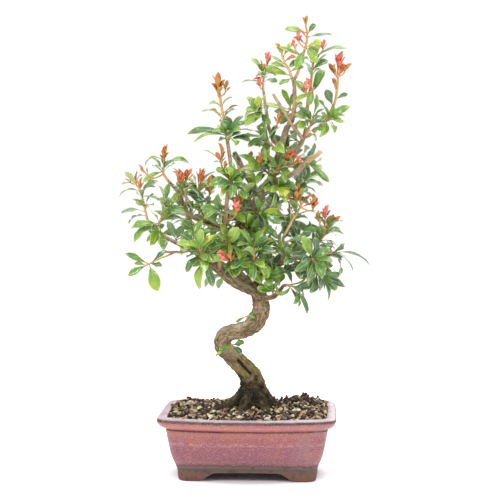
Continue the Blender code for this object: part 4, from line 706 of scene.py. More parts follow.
def clear_of(parent, stem):
    """The distance along a stem where it has left its parent's surface."""
    distance = FIRST_CUT
    while distance < LATEST_CUT * stem.length:
        place, _, radius = stem.at(distance)
        middle, _, thickness = parent.at(parent.nearest(place))
        if (place - middle).length > thickness + radius + CUT_CLEARANCE:
            break
        distance += CUT_STEP
    return distance


def tuft(shoot, count, length, width, spread):
    """A tuft of upright young leaves on a shoot's end: its short stem, then its leaves."""
    place, direction, radius = shoot.at(shoot.length)
    start = place + direction * GAP
    stem = Stem([start, start + direction * TUFT_STEM], [radius, radius * 0.8])
    leaves = []
    for k in range(count):
        spoke = spoke_of(direction, GOLDEN_TURN * k)
        lean = spread * (0.35 + 0.65 * k / count)
        way = direction * math.cos(lean) + spoke * math.sin(lean)
        reach = length * (1 - 0.45 * k / count)
        base = start + direction * (1.2 + 2.6 * k / count) * MM + spoke * (0.4 * radius)
        tip = base + way * reach
        up = (direction - way * direction.dot(way)).normalized() if lean > 0.02 else spoke
        leaves.append(Leaf(base, tip, up, width * (1 - 0.3 * k / count), -0.6 * MM, "red"))
    return stem, leaves


print("leaves in the tufts:", sum(row[2] for row in TUFTS))


# %% Planning the whole tree
TWIG_SIDES = 4
TWIG_TOLERANCE = 1.2 * MM
LIMB_TOLERANCE = 1.0 * MM
# Spacing of the points along rough stems, which others keep clear of, and along the fine ones.
TRUNK_STEP, ROOT_STEP, LIMB_STEP, SHOOT_STEP = 8.5 * MM, 15 * MM, 9 * MM, 7 * MM
FINE_STEP = 2.5 * MM
SHOOT_OVERLAP = 0.7 * MM
ROOT_SINK = 2.0 * MM
CUT_STUB = [(21.5, 167, -5), (26.5, 169.3, -8)]


def plan_tree():
    """Rough stems to keep clear of, fine stems to skin, and the leaves of every shoot."""
    trunk_radii = [p[3] * MM for p in TRUNK]
    fine = {"trunk": curve(trunk_places, trunk_radii, FINE_STEP)}
    stems = {"trunk": curve(trunk_places, trunk_radii, TRUNK_STEP)}
    thicket = Thicket()
    thicket.add("trunk", *stems["trunk"].shape(9))
    for number, root in enumerate(ROOTS):
        points = [seen_at(*p[:3]) for p in root]
        radii = [p[3] * MM for p in root]
        thicket.add("trunk", *curve(points, radii, ROOT_STEP).shape(6))
        sunk = [p - Vector((0, 0, ROOT_SINK)) for p in points]
        fine["root_%d" % number] = curve(sunk, [0.93 * r for r in radii], FINE_STEP)
    for name, parent, first, last, route in LIMBS:
        stems[name] = grow_from(stems[parent], route, first, last, LIMB_STEP).thinned(LIMB_TOLERANCE)
        thicket.add("trunk", *stems[name].shape(7 if first > 4 else 5 if first > 2.5 else TWIG_SIDES))
        fine[name] = grow_from(stems[parent], route, first, last, FINE_STEP)
    fine["cut_stub"] = curve([seen_at(*p) for p in CUT_STUB], [2.8 * MM, 3.3 * MM], FINE_STEP)
    shoots = {}
    for name, parent, first, last, route, *_ in SHOOTS:
        whole = grow_from(stems[parent], route, first, last, SHOOT_STEP)
        cut = clear_of(stems[parent], whole)
        thicket.add("trunk", *whole.straight(cut).shape(TWIG_SIDES))
        rough = whole.part(cut + GAP, whole.length).thinned(TWIG_TOLERANCE)
        thicket.add(name, *rough.shape(TWIG_SIDES))
        whole = grow_from(stems[parent], route, first, last, FINE_STEP)
        fine[name + "_stub"] = whole.part(0, cut)
        shoots[name] = (rough, whole.part(cut - SHOOT_OVERLAP, whole.length))
    tufts = {}
    for name, shoot, count, length, width, spread in TUFTS:
        tufts[name] = tuft(shoots[shoot][0], count, length * MM, width * MM, spread)
        for leaf in tufts[name][1]:
            thicket.add(name, *blade_shape(leaf))
    leaves = {}
    for number, (name, _, _, _, _, placed, count, length, _) in enumerate(SHOOTS):
        rng = random.Random(SEED + number)
        leaves[name] = grow_leaves(thicket, name, shoots[name][0], placed, count, length, rng)
    return fine, shoots, tufts, leaves, thicket


fine_wood, shoot_stems, tufts, leaves, thicket = plan_tree()
print("leaves of the solids:", sum(len(v) for v in leaves.values()))

# %% [markdown]
# ## Filling the crown
# A shoot carries its leaves in pairs, each pair across the one below. These further pairs fill
# the crown as densely as on the real tree. Each must find room, and stays inside the solids' box.

# %% Further pairs of leaves
FILL_CLEARANCE = 0.25 * MM
FILL_TRIES = 12
BOX_MARGIN = 1.6 * MM
BARE_TOP = 218.0 * MM
BARE_HALF = 36.0 * MM


def in_box(place):
    """Whether a leaf may reach a place: inside the box of the solids, and not before the bare trunk."""
    at = place + POT_MIDDLE
    low, high = solid_box
    before_trunk = place.z < BARE_TOP and abs(place.x) < BARE_HALF
    return not before_trunk and all(low[i] + BOX_MARGIN < at[i] < high[i] - BOX_MARGIN for i in range(3))


def try_leaf(name, middle, direction, radius, spoke, length, kind, rng):
    """Add one leaf near the wanted direction, if it finds room."""
    for attempt in range(FILL_TRIES):
        swing = Matrix.Rotation(rng.uniform(-0.15, 0.15) * attempt, 3, direction)
        lean = rng.uniform(0.55, 1.2)
        way = direction * math.cos(lean) + (swing @ spoke) * math.sin(lean) + Vector((0, 0, -0.15))
        reach = length * MM * rng.uniform(0.7, 1.12) * (1 - 0.03 * attempt)
        tip = middle + way.normalized() * reach
        base = root_of(middle, direction, radius, tip)
        face = upper_side(base, tip, direction, rng.uniform(-0.45, 0.45))
        leaf = Leaf(base, tip, face, reach * rng.uniform(0.3, 0.42), reach * rng.uniform(0.04, 0.16), kind)
        if in_box(tip) and is_clear(thicket, name, leaf, FILL_CLEARANCE):
            thicket.add(name, *blade_shape(leaf))
            return [leaf]
    return []


def grow_pairs(name, stem, pairs, length, rng):
    """Pairs of leaves along a stem, each pair across the one below."""
    grown = []
    turn = rng.uniform(0, math.pi)
    for k in range(pairs):
        turn += math.pi / 2 + rng.uniform(-0.3, 0.3)
        share = 0.12 + 0.83 * (k + rng.uniform(0.2, 0.8)) / pairs
        middle, direction, radius = stem.at(share * stem.length)
        for side in (0, math.pi):
            spoke = spoke_of(direction, turn + side)
            kind = "young" if rng.random() < 0.06 + 0.3 * share ** 3 else "leaf"
            reach = length * (1.05 - 0.3 * share)
            grown += try_leaf(name, middle, direction, radius, spoke, reach, kind, rng)
    return grown


for number, (name, *_, pairs) in enumerate(SHOOTS):
    leaves[name] += grow_pairs(name, shoot_stems[name][1], *pairs, random.Random(SEED + 100 + number))
print("leaves with the further pairs:", sum(len(v) for v in leaves.values()))

# %% [markdown]
# ## Rosettes on old wood
# Pomegranates also carry short spurs on older limbs, each with a rosette of leaves. They hide
# most of the wood in the middle of the crown.

# %% Spurs with rosettes
# Limbs that bear spurs: the limb, where on it they begin and end, and how many there are.
SPUR_LIMBS = [
    ("leader", 0.1, 0.62, 11), ("low_limb", 0.3, 0.95, 7), ("upper_left", 0.1, 0.9, 6),
    ("right_mid", 0.25, 0.95, 6), ("right_back", 0.25, 0.95, 6), ("right_riser", 0.2, 0.9, 3),
    ("front_stem", 0.4, 0.95, 3), ("spire", 0.08, 0.45, 4), ("back_limb", 0.2, 0.95, 5),
    ("back_left", 0.2, 0.95, 4), ("back_right", 0.2, 0.95, 4), ("right_limb", 0.35, 0.95, 3),
    ("left_limb", 0.25, 0.7, 2), ("base_branch", 0.5, 0.9, 2), ("leader", 0.74, 0.98, 1),
    ("mast", 0.2, 0.6, 1)]
SPUR_LENGTH = 5.0 * MM
SPUR_RADIUS = 0.8 * MM
SPUR_LEAVES = 5
SPUR_LEAF_LENGTH = 28


def grow_spur(number, limb, share, rng):
    """A short side twig with a rosette: its stem and its leaves, if at least two find room."""
    middle, direction, radius = limb.at(share * limb.length)
    spoke = spoke_of(direction, rng.uniform(0, 2 * math.pi))
    if spoke.z < -0.3:
        spoke = -spoke
    way = (spoke + direction * rng.uniform(0, 0.7)).normalized()
    name = "spur_%d" % number
    end = middle + way * (radius + SPUR_LENGTH)
    stem = Stem([middle + way * (0.6 * radius), end], [SPUR_RADIUS * 1.2, SPUR_RADIUS])
    grown = []
    turn = rng.uniform(0, 6.28)
    for k in range(SPUR_LEAVES):
        around = spoke_of(way, turn + k * GOLDEN_TURN)
        place = end - way * rng.uniform(0.1, 1.6) * MM
        kind = "young" if rng.random() < 0.12 else "leaf"
        grown += try_leaf(name, place, way, SPUR_RADIUS, around, SPUR_LEAF_LENGTH, kind, rng)
    return (name, stem, grown) if len(grown) > 1 else None


spurs = []
spur_rng = random.Random(SEED + 500)
for limb_name, first, last, count in SPUR_LIMBS:
    for k in range(count):
        share = first + (last - first) * (k + spur_rng.uniform(0.2, 0.8)) / count
        spur = grow_spur(len(spurs), fine_wood[limb_name], share, spur_rng)
        if spur:
            spurs.append(spur)
print("rosettes:", len(spurs), "with", sum(len(s[2]) for s in spurs), "leaves")

# %% [markdown]
# ## Building meshes from many small bodies
# A shoot is one piece with a stem and a dozen leaves. A heap collects their points and faces,
# with the pattern coordinates and the tone of each point, and makes one mesh of them.

# %% A heap of bodies
def bare_object(name, points, faces):
    """A mesh object in the scene, from points and faces."""
    mesh = bpy.data.meshes.new(name)
    mesh.from_pydata([tuple(p) for p in points], [], faces)
    obj = bpy.data.objects.new(name, mesh)
    bpy.context.scene.collection.objects.link(obj)
    return obj


def keep_values(mesh, name, values):
    """Keep one number for each point of a mesh."""
    mesh.attributes.new(name, "FLOAT", "POINT").data.foreach_set("value", values)


class Heap:
    """Bodies that become one mesh. Every point has a pattern place and a tone."""

    def __init__(self):
        self.points, self.faces, self.materials, self.places, self.tones = [], [], [], [], []

    def add(self, points, faces, places, tones, material=0):
        """Put one more body on the heap."""
        first = len(self.points)
        self.points += points
        self.faces += [tuple(first + k for k in face) for face in faces]
        self.materials += [material] * len(faces)
        self.places += places
        self.tones += tones

    def build(self, name, materials):
        """One object with its place in its mesh, kept inside the box of the solids."""
        inside = np.clip(np.array([p + POT_MIDDLE for p in self.points]), *np.array(solid_box))
        obj = bare_object(name, inside.tolist(), self.faces)
        mesh = obj.data
        for material in materials:
            mesh.materials.append(material)
        mesh.polygons.foreach_set("material_index", self.materials)
        mesh.polygons.foreach_set("use_smooth", [True] * len(self.faces))
        corners = np.zeros(len(mesh.loops), np.int32)
        mesh.loops.foreach_get("vertex_index", corners)
        layer = mesh.uv_layers.new(name="pattern")
        layer.data.foreach_set("uv", np.array(self.places, np.float32)[corners].ravel())
        keep_values(mesh, "tone", self.tones)
        mesh.update()
        return obj


def finder_of(points):
    """A search tree for the nearest of many points."""
    tree = KDTree(len(points))
    for k, point in enumerate(points):
        tree.insert(point, k)
    tree.balance()
    return tree


print("a heap keeps", sorted(vars(Heap())))


# %% [markdown]
# ## One real leaf
# A pomegranate leaf is a long oval with a short stalk and a smooth edge. It is folded a little
# along its midrib, its edge waves, and it twists towards the light. It is about 0.35 mm thick,
# so the blade is a closed body with an upper and a lower face.

# %% A fine leaf
LEAF_STATIONS = (0.0, 0.07, 0.13, 0.19, 0.27, 0.37, 0.48, 0.59, 0.7, 0.8, 0.88, 0.945, 0.985, 1.0)
LEAF_COLUMNS = (-1.0, -0.55, 0.0, 0.55, 1.0)
BLADE_THICKNESS = 0.35 * MM
STALK_THICKNESS = 0.9 * MM
STALK_END = 0.14
UNDERSIDE = 2.0


def fine_blade(leaf, rng):
    """Points, faces and pattern places of a leaf: a folded, waved, twisted blade with a curled tip."""
    along = leaf.tip - leaf.base
    side = along.cross(leaf.up).normalized()
    fold = rng.uniform(0.1, 0.5) if leaf.kind != "red" else rng.uniform(0.5, 0.9)
    wave = rng.uniform(0.08, 0.3)
    waves = rng.uniform(1.0, 2.6)
    phase = rng.uniform(0, 2 * math.pi)
    twist = rng.uniform(-0.6, 0.6)
    curl = rng.uniform(-0.03, 0.17) * along.length
    points = []
    places = []
    for t in LEAF_STATIONS:
        place, tangent = midrib(leaf, t)
        flat = Matrix.Rotation(twist * t, 3, tangent) @ side
        normal = flat.cross(tangent).normalized()
        place = place - leaf.up * (curl * max(0.0, t - 0.55) ** 2 * 4)
        half = max(PETIOLE * (1 - 0.75 * t), leaf.width * 0.56 * outline(t, 1.4, 0.72))
        thickness = BLADE_THICKNESS + (STALK_THICKNESS - BLADE_THICKNESS) * max(0.0, 1 - t / STALK_END)
        for u in LEAF_COLUMNS:
            ripple = wave * u * u * math.sin(2 * math.pi * waves * t + phase + 1.1 * u)
            points.append(place + flat * (u * half) + normal * (half * (fold * abs(u) + ripple)))
            places.append((0.5 + 0.5 * u, t))
        for u in LEAF_COLUMNS:
            points.append(points[-len(LEAF_COLUMNS)] - normal * thickness)
            places.append((UNDERSIDE + 0.5 + 0.5 * u, t))
    wide = len(LEAF_COLUMNS)
    faces = [tuple(range(wide, 2 * wide)) + tuple(range(wide - 1, -1, -1))]
    for row in range(len(LEAF_STATIONS) - 1):
        low = row * 2 * wide
        high = low + 2 * wide
        for k in range(wide - 1):
            faces.append((low + k, low + k + 1, high + k + 1, high + k))
            faces.append((low + wide + k, high + wide + k, high + wide + k + 1, low + wide + k + 1))
        faces.append((low, high, high + wide, low + wide))
        faces.append((low + wide - 1, low + 2 * wide - 1, high + 2 * wide - 1, high + wide - 1))
    end = (len(LEAF_STATIONS) - 1) * 2 * wide
    faces.append(tuple(range(end, end + wide)) + tuple(range(end + 2 * wide - 1, end + wide - 1, -1)))
    return points, faces, places


def stem_body(stem, sides, swell=1.0):
    """Points, faces and pattern places of a stem: round it, and along it in centimetres."""
    stem = Stem(stem.points, [r * swell for r in stem.radii], stem.ends)
    points, faces = stem.shape(sides)
    places = [(k / sides, mark * 100) for mark in stem.marks for k in range(sides)]
    return points, faces, places


print("a leaf has", 4 * (len(LEAF_STATIONS) - 1) * len(LEAF_COLUMNS) + 12, "triangles at most")

# %% [markdown]
# ## Materials
# A colour is written as it looks on a screen, and one function turns it to the linear value that
# the renderer needs. One more function adds a node with its settings and links. The scale of a
# noise counts its grains per metre, so a scale of 700 gives grains of about 1000 / 700 = 1.4 mm.

# %% Colours and nodes
def linear(hex_colour):
    """The linear value of a colour given as sRGB hex."""
    channels = [int(hex_colour[i:i + 2], 16) / 255 for i in (0, 2, 4)]
    return (*[c / 12.92 if c <= 0.04045 else ((c + 0.055) / 1.055) ** 2.4 for c in channels], 1.0)


def plug(tree, made, inputs):
    """Link or set the inputs of a node. A node given as a value stands for its first output."""
    for key, value in inputs.items():
        if isinstance(value, bpy.types.Node):
            value = value.outputs[0]
        if isinstance(value, bpy.types.NodeSocket):
            tree.links.new(value, made.inputs[key])
        else:
            made.inputs[key].default_value = value


def add_node(tree, kind, inputs=None, stops=(), span=(), **settings):
    """Add a node and set it up. A span is the range that the node reads and the range that it gives."""
    made = tree.nodes.new(kind if "Node" in kind else "ShaderNode" + kind)
    for key, value in settings.items():
        setattr(made, key, value)
    plug(tree, made, inputs or {})
    plug(tree, made, dict(zip(("From Min", "From Max", "To Min", "To Max"), span)))
    for k, (place, colour) in enumerate(stops):
        elements = made.color_ramp.elements
        element = elements[k] if k < 2 else elements.new(place)
        element.position = place
        element.color = linear(colour)
    return made


def start_material(name, **values):
    """A material with a Principled shader whose plain inputs are set here."""
    material = bpy.data.materials.new(name)
    material.use_nodes = True
    tree = material.node_tree
    shader = tree.nodes["Principled BSDF"]
    plug(tree, shader, {key.replace("_", " "): value for key, value in values.items()})
    return material, tree, shader


print("white is", linear("FFFFFF"))


# %% Tints over a colour, and what a leaf's patterns read
def tinted(tree, colour, layers):
    """Lay tints over a colour. A layer is a pattern, the span that makes it a share, and a tint."""
    for pattern, span, tint in layers:
        share = add_node(tree, "MapRange", {"Value": pattern}, span=span)
        colour = add_node(tree, "MixRGB", {"Fac": share, "Color1": colour, "Color2": linear(tint)})
    return colour


def leaf_places(tree):
    """What the patterns on a leaf read: its width, its length, its tone and its place."""
    axes = add_node(tree, "SeparateXYZ", {0: add_node(tree, "UVMap", uv_map="pattern")})
    tone = add_node(tree, "Attribute", attribute_name="tone").outputs["Fac"]
    return axes.outputs["X"], axes.outputs["Y"], tone, add_node(tree, "TexCoord").outputs["Object"]


print("old rose is", [round(c, 3) for c in linear("7D434F")[:3]])

# %% [markdown]
# ## Leaf green
# A pomegranate leaf is leathery and glossy. Old leaves are dark, young ones yellow-green. The
# midrib is a pale groove with fine side veins, and the margin and the tip turn yellowish. The
# gloss comes from a thin waxy skin, so a clear coat lies over a satin base.

# %% The green leaf
green_leaf, tree, shader = start_material("waxy green leaf", IOR=1.45, Coat_Weight=1.0,
    Coat_Roughness=0.15, Sheen_Weight=0.2, Sheen_Roughness=0.35, Subsurface_Weight=0.08,
    Subsurface_Radius=(0.3, 0.6, 0.1), Subsurface_Scale=1.0 * MM)
wide, long, tone, place = leaf_places(tree)
patches = add_node(tree, "TexNoise", {"Vector": place, "Scale": 70.0, "Detail": 3.0})
mixed_tone = add_node(tree, "Math", {0: patches, 1: 0.5, 2: tone}, operation="MULTIPLY_ADD")
greens = add_node(tree, "ValToRGB", {"Fac": mixed_tone}, [
    (0.18, "1E4A22"), (0.34, "36691C"), (0.5, "5A8A16"), (0.66, "86A41A"), (0.84, "B2BE26"), (1.0, "CCCC3A")])
print("greens:", len(greens.color_ramp.elements))

# %% Midrib, side veins, margin, pale underside and stalk
# The side veins are a wave along the leaf: 85 / 6.28, so 13 or 14 of them on each side.
folded = add_node(tree, "Math", {0: wide, 1: UNDERSIDE}, operation="MODULO")
below = add_node(tree, "Math", {0: wide, 1: 1.5}, operation="GREATER_THAN")
across = add_node(tree, "Math", {0: folded, 1: 0.5}, operation="SUBTRACT")
from_rib = add_node(tree, "Math", {0: across}, operation="ABSOLUTE")
rib_mask = add_node(tree, "MapRange", {"Value": from_rib}, span=(0.018, 0.05, 0.75, 0.0))
slant = add_node(tree, "Math", {0: from_rib, 1: -0.55, 2: long}, operation="MULTIPLY_ADD")
vein_wave = add_node(tree, "Math", {0: slant, 1: 85.0}, operation="MULTIPLY")
vein_sine = add_node(tree, "Math", {0: vein_wave}, operation="SINE")
veins = add_node(tree, "MapRange", {"Value": vein_sine}, span=(0.75, 1.0, 0.0, 0.22))
edge = add_node(tree, "MapRange", {"Value": from_rib}, span=(0.4, 0.5, 0.0, 0.55))
tip_edge = add_node(tree, "MapRange", {"Value": long}, span=(0.86, 1.0, 0.0, 0.6))
margin = add_node(tree, "Math", {0: edge, 1: tip_edge}, operation="MAXIMUM")
paleness = add_node(tree, "Math", {0: below, 1: 0.5}, operation="MULTIPLY")
stalk = add_node(tree, "MapRange", {"Value": long}, span=(0.05, 0.14, 0.85, 0.0))
green_tints = [(rib_mask, "8FB063"), (veins, "7DA257"), (margin, "BDBD4C"), (paleness, "87A774"),
               (stalk, "A5713F")]
colour = greens
for mask, tint in green_tints:
    colour = add_node(tree, "MixRGB", {"Fac": mask, "Color1": colour, "Color2": linear(tint)})
print("tints on the green:", len(green_tints))

# %% Wax and puckers
# A wax skin 0.01 mm thick is never even, so its roughness wanders with the patches, which are
# about 14 mm long. The skin puckers between the side veins, every 4 mm or so.
smooth_wax = add_node(tree, "MapRange", {"Value": patches}, span=(0.3, 0.7, 0.32, 0.5))
dull_below = add_node(tree, "Math", {0: below, 1: 0.25, 2: smooth_wax}, operation="MULTIPLY_ADD")
relief = add_node(tree, "Math", {0: veins, 1: rib_mask}, operation="ADD")
puckers = add_node(tree, "TexNoise", {"Vector": place, "Scale": 230.0, "Detail": 1.0})
puckered = add_node(tree, "Bump", {"Height": puckers, "Strength": 0.7, "Distance": 2.2 * MM})
bump = add_node(tree, "Bump", {"Height": relief, "Strength": 0.5, "Distance": 0.25 * MM, "Normal": puckered},
                invert=True)
plug(tree, shader, {"Base Color": colour, "Roughness": dull_below, "Normal": bump})
print("green leaf nodes:", len(tree.nodes))

# %% [markdown]
# ## Red new leaves
# New growth is still soft and coloured by a red pigment: crimson at the tip, orange and olive
# lower down. It is less glossy than a grown leaf.

# %% The red leaf
red_leaf, tree, shader = start_material("soft red new leaf", Roughness=0.45, IOR=1.45, Coat_Weight=0.2,
    Subsurface_Weight=0.15, Subsurface_Radius=(1.0, 0.3, 0.1), Subsurface_Scale=1.0 * MM)
wide, long, tone, place = leaf_places(tree)
patches = add_node(tree, "TexNoise", {"Vector": place, "Scale": 150.0, "Detail": 2.0})
ripe = add_node(tree, "Math", {0: long, 1: 0.35, 2: tone}, operation="MULTIPLY_ADD")
reddening = add_node(tree, "Math", {0: patches, 1: 0.3, 2: ripe}, operation="MULTIPLY_ADD")
reds = add_node(tree, "ValToRGB", {"Fac": reddening}, [
    (0.1, "7A7A30"), (0.28, "AA842E"), (0.45, "B8762C"), (0.65, "C06C38"), (0.85, "CE6452"), (1.0, "DA8074")])
across = add_node(tree, "Math", {0: wide, 1: 0.5}, operation="SUBTRACT")
from_rib = add_node(tree, "Math", {0: across}, operation="ABSOLUTE")
plug(tree, shader, {"Base Color": tinted(tree, reds, [(from_rib, (0.02, 0.07, 0.5, 0.0), "D98A5C")])})
print("red leaf nodes:", len(tree.nodes))

# %% [markdown]
# ## Young stems
# A first-year stem is smooth and orange-tan, redder where it is youngest and greyer where the
# bark begins. Its tone runs from 0 at the foot to 1 at the tip.

# %% The young stem
# The pattern runs once round the stem and along it in centimetres: nine fibres, each 2.7 mm long.
young_stem, tree, shader = start_material("smooth young stem", Roughness=0.5, IOR=1.45)
pattern = add_node(tree, "UVMap", uv_map="pattern")
tone = add_node(tree, "Attribute", attribute_name="tone").outputs["Fac"]
stretch = add_node(tree, "Mapping", {"Vector": pattern, "Scale": (6.0, 2.5, 1.0)})
fibres = add_node(tree, "TexNoise", {"Vector": stretch, "Scale": 1.5, "Detail": 4.0})
ripeness = add_node(tree, "Math", {0: fibres, 1: 0.35, 2: tone}, operation="MULTIPLY_ADD")
stem_colours = add_node(tree, "ValToRGB", {"Fac": ripeness}, [
    (0.1, "84664A"), (0.35, "B68E5E"), (0.6, "D0A66E"), (0.85, "D2A064"), (1.0, "C48454")])
bump = add_node(tree, "Bump", {"Height": fibres, "Strength": 0.3, "Distance": 0.2 * MM})
plug(tree, shader, {"Base Color": stem_colours, "Normal": bump})
print("young stem nodes:", len(tree.nodes))

# %% [markdown]
# ## The shoots
# Each shoot replaces its rough solid. The leaf starts inside its stem, and a small swelling
# marks where each leaf is joined.

# %% Shoots whose leaves can be told apart
# Some shoots have every leaf listed, because each can be told apart: those at the very top
# and the two sprouts on the trunk. Start and tip (across, up, back), width in millimetres and kind.
CHOSEN_LEAVES = {
    "shoot_top": """
57 432 0 36 437.5 -4 8.5, 58 431 0 67 442 -5 6, 58 428 0 83 432 6 4, 56 418 0 68 403 -12 10,
57 417 1 73 424 -12 8 y, 56 416 1 47 396 -14 9.5, 53 409 2 30 418 -6 6 y, 53 407 2 40 398 -14 6,
57 427 0 49 436 -4 4 r, 56 421 1 44 428 -5 4 r""",
    "shoot_left_low": """
-100 201 -40 -91 174 -46 12.5, -101 202 -40 -124 212 -46 7, -102 200 -40 -121 189.5 -42 7,
-98 203 -39 -82 216 -46 5.5, -99 202 -39 -87 199 -48 7, -103 200 -40 -115 202 -36 5.5 y""",
    "shoot_mast_high": """
41 389 2 16 396 -6 9 y, 38 397 0 22 402 -8 6.5, 34 411 -2 27 418 -8 5 y, 36 404 0 47 409 -8 5 r,
40 393 1 55 399 -8 6, 35 408 -2 44 424 4 5 y, 43 386 2 30 380 -10 7, 44 384 3 58 372 -8 7.5,
34 414 -3 26 422 -6 4 r, 37 400 0 20 410 4 5""",
    "shoot_mast_low": """
43 355 12 8 362 10 8 y, 42 356 14 33 376 18 6.5, 42 355 14 30 345 22 7, 42 356 14 54 362 26 7,
41 356 16 44 372 10 5 y""",
    "shoot_right_stem": """
62 372 8 76 396 -4 11.5, 63 376 4 57 387 -6 5 r, 61 372 6 47 365 -8 7 y, 62 376 2 60 360 -14 7""",
    "shoot_right_spire": """
84 358 26 77 376 16 9, 88 376 26 83 387 18 5.5 r, 89 386 25 80 402 20 6 r, 89 388 25 97 402 30 6 r,
87 366 26 99 372 34 5""",
    "sprout_bend": """
-17 119 -18 -4.5 122.5 -23 8.5, -17 118 -18 -7 111 -22 7, -18 119 -18 -30 116 -23 5.5,
-19 118 -17 -34 109.5 -22 3.5 y""",
    "sprout_top": """
-3 149 -10 -14 142.5 -13 3, -2 149 -10 5 153 -13 4, -2 149 -10 6 147 -14 3.5 y"""}
print("leaves told apart:", sum(len(read_leaves(text)) for text in CHOSEN_LEAVES.values()))

# %% Adding a leaf or a stem to a heap
STEM_SIDES = 8
STEM_SWELL = 1.18


def anchored(leaf, stem):
    """The same leaf, rooted in the fine stem."""
    middle, direction, radius = stem.at(stem.nearest(leaf.base))
    return leaf._replace(base=root_of(middle, direction, radius, leaf.tip))


CROWN_FOOT = 190 * MM


def shade_on(place):
    """How much painted shade a leaf gets, low on the right or under the crown, from 0 to 1."""
    right = clamp((place.x / MM - 20) / 40)
    low = clamp((330 - place.z / MM) / 60)
    return 1.0 if place.z < CROWN_FOOT else right * low


def add_leaf(heap, leaf, rng, redness=0.2):
    """Add one fine leaf with a tone of its own."""
    points, faces, places = fine_blade(leaf, rng)
    # Painted shade: a leaf in the shade gets a darker tone, and every other leaf a little lighter.
    sun = 0.04 - 0.2 * shade_on(leaf.tip)
    tone = {"leaf": rng.uniform(0.0, 0.36) + sun, "young": rng.uniform(0.32, 0.54) + sun,
            "red": redness + rng.uniform(-0.2, 0.2)}
    heap.add(points, faces, places, [tone[leaf.kind]] * len(points), 2 if leaf.kind == "red" else 0)


def add_stem(heap, stem, young_from, young_to):
    """Add one stem whose tone runs from its foot to its tip."""
    points, faces, places = stem_body(stem, STEM_SIDES, STEM_SWELL)
    tones = [young_from + (young_to - young_from) * mark / stem.length for mark in stem.marks]
    heap.add(points, faces, places, [t for t in tones for _ in range(STEM_SIDES)], 1)


print("shade under the crown:", shade_on(Vector((0, 0, 0))))

# %% Building the shoots
leaf_materials = [green_leaf, young_stem, red_leaf]
FACING_FRONT = Vector((0.1, -0.8, 0.6))
CHOSEN_ARCH = 0.8 * MM
TUFT_REDNESS = {
    "tip_spire": 0.05, "tip_left_spire": 0.1, "tip_top": -0.15, "tip_riser": -0.1, "tip_right_spire": 0.45}
for number, (name, (_, stem)) in enumerate(shoot_stems.items()):
    rng = random.Random(SEED + 1000 + number)
    heap = Heap()
    add_stem(heap, stem, 0.3, 0.85)
    grown = leaves[name]
    if name in CHOSEN_LEAVES:
        grown = [Leaf(seen_at(*row[:3]), seen_at(*row[3:6]), FACING_FRONT, row[6] * MM, CHOSEN_ARCH, row[7])
                 for row in read_leaves(CHOSEN_LEAVES[name])]
    for leaf in grown:
        add_leaf(heap, anchored(leaf, stem), rng)
    piece = heap.build(name + "_leaves", leaf_materials)
    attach(piece, "root")
    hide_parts(name)
for number, (name, (stem, blades)) in enumerate(tufts.items()):
    rng = random.Random(SEED + 2000 + number)
    heap = Heap()
    start = stem.points[0] - (stem.points[1] - stem.points[0]).normalized() * SHOOT_OVERLAP
    add_stem(heap, Stem([start, stem.points[1]], stem.radii), 0.85, 1.0)
    for leaf in blades:
        add_leaf(heap, leaf, rng, TUFT_REDNESS.get(name, 0.25))
    piece = heap.build(name + "_leaves", leaf_materials)
    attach(piece, "root")
    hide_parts(name)
print("shoots and tufts:", len(shoot_stems) + len(tufts))

# %% [markdown]
# ## Bunches of opening buds
# Nearly every twig ends in a bunch of small leaves that are just unfolding, some coral, some
# rusty. Each bunch below sits on a short twig that leaves the nearest stem.

# %% The opening buds
# Each bunch: where it starts (across, up, back), how far its tip is across and up, how many
# leaves it has, their width in millimetres and how red they are.
BUDS = read_numbers("""
-101 289 -26 -8 11 3 2.6 0, -109 275 -8 0 12 4 3.4 .1, -118 282 3 -3 11 3 3 .3,
-69 280 -16 1 15 7 4.4 .3, -63 283 -14 4 13 4 3.6 .2, -48 283 -8 1 13 5 3.8 .15,
-38 273 -6 1 17 5 5.2 0, -85 304 -6 0 13 4 3.6 .05, -26 294 -18 3 10 3 3.2 .05,
-13 251 -44 1 14 8 5.4 .5, 11 378 -13 -1 11 6 4 .3, 14 392 -10 0 12 3 3.4 -.15,
18 402 -8 1 11 6 3.8 .5, -31 369 -4 1 22 5 6 .05, -24 372 -2 2 12 3 4 -.1,
37 302 -24 5 12 6 3.6 .25, 44 300 -22 9 8 4 3.4 .3, 48 263 -8 1 18 7 5 -.05,
40 266 -10 -5 9 4 3.6 -.1, 64 255 -8 2 15 7 5 .1, 76 245 2 1 15 6 4.4 .45, 71 241 0 -3 13 4 5 -.2,
74 415 4 1 10 4 3.2 .5, 57 373 -10 0 12 5 3.8 .5, 50 423 -6 -1 11 5 3.6 .5, 46 416 -8 -2 9 3 3.2 .3,
90 396 24 1 17 7 5.4 .45, 86 392 20 -4 10 3 5 0, 95 392 28 5 10 3 5 0, 86 378 20 -1 8 2 4 -.1,
-22 204 -50 -8 9 7 4.8 .5, -18 204 -48 -1 11 4 4 .1, 10 300 -20 2 12 4 4 .2,
28 340 -16 2 12 4 3.6 .2, -58 232 60 -2 14 5 4.4 .3, 12 262 74 2 15 6 4.6 .4,
52 288 62 2 14 5 4.4 .4, -68 262 62 -2 14 6 4.6 .3, 40 250 58 2 12 5 4 .2, 0 300 24 2 13 5 4.2 .35""")
print("leaves in the bunches:", round(sum(row[5] for row in BUDS)))

# %% Building the bunches
BUD_TWIG = 0.75 * MM
BUD_SPREAD = 0.85


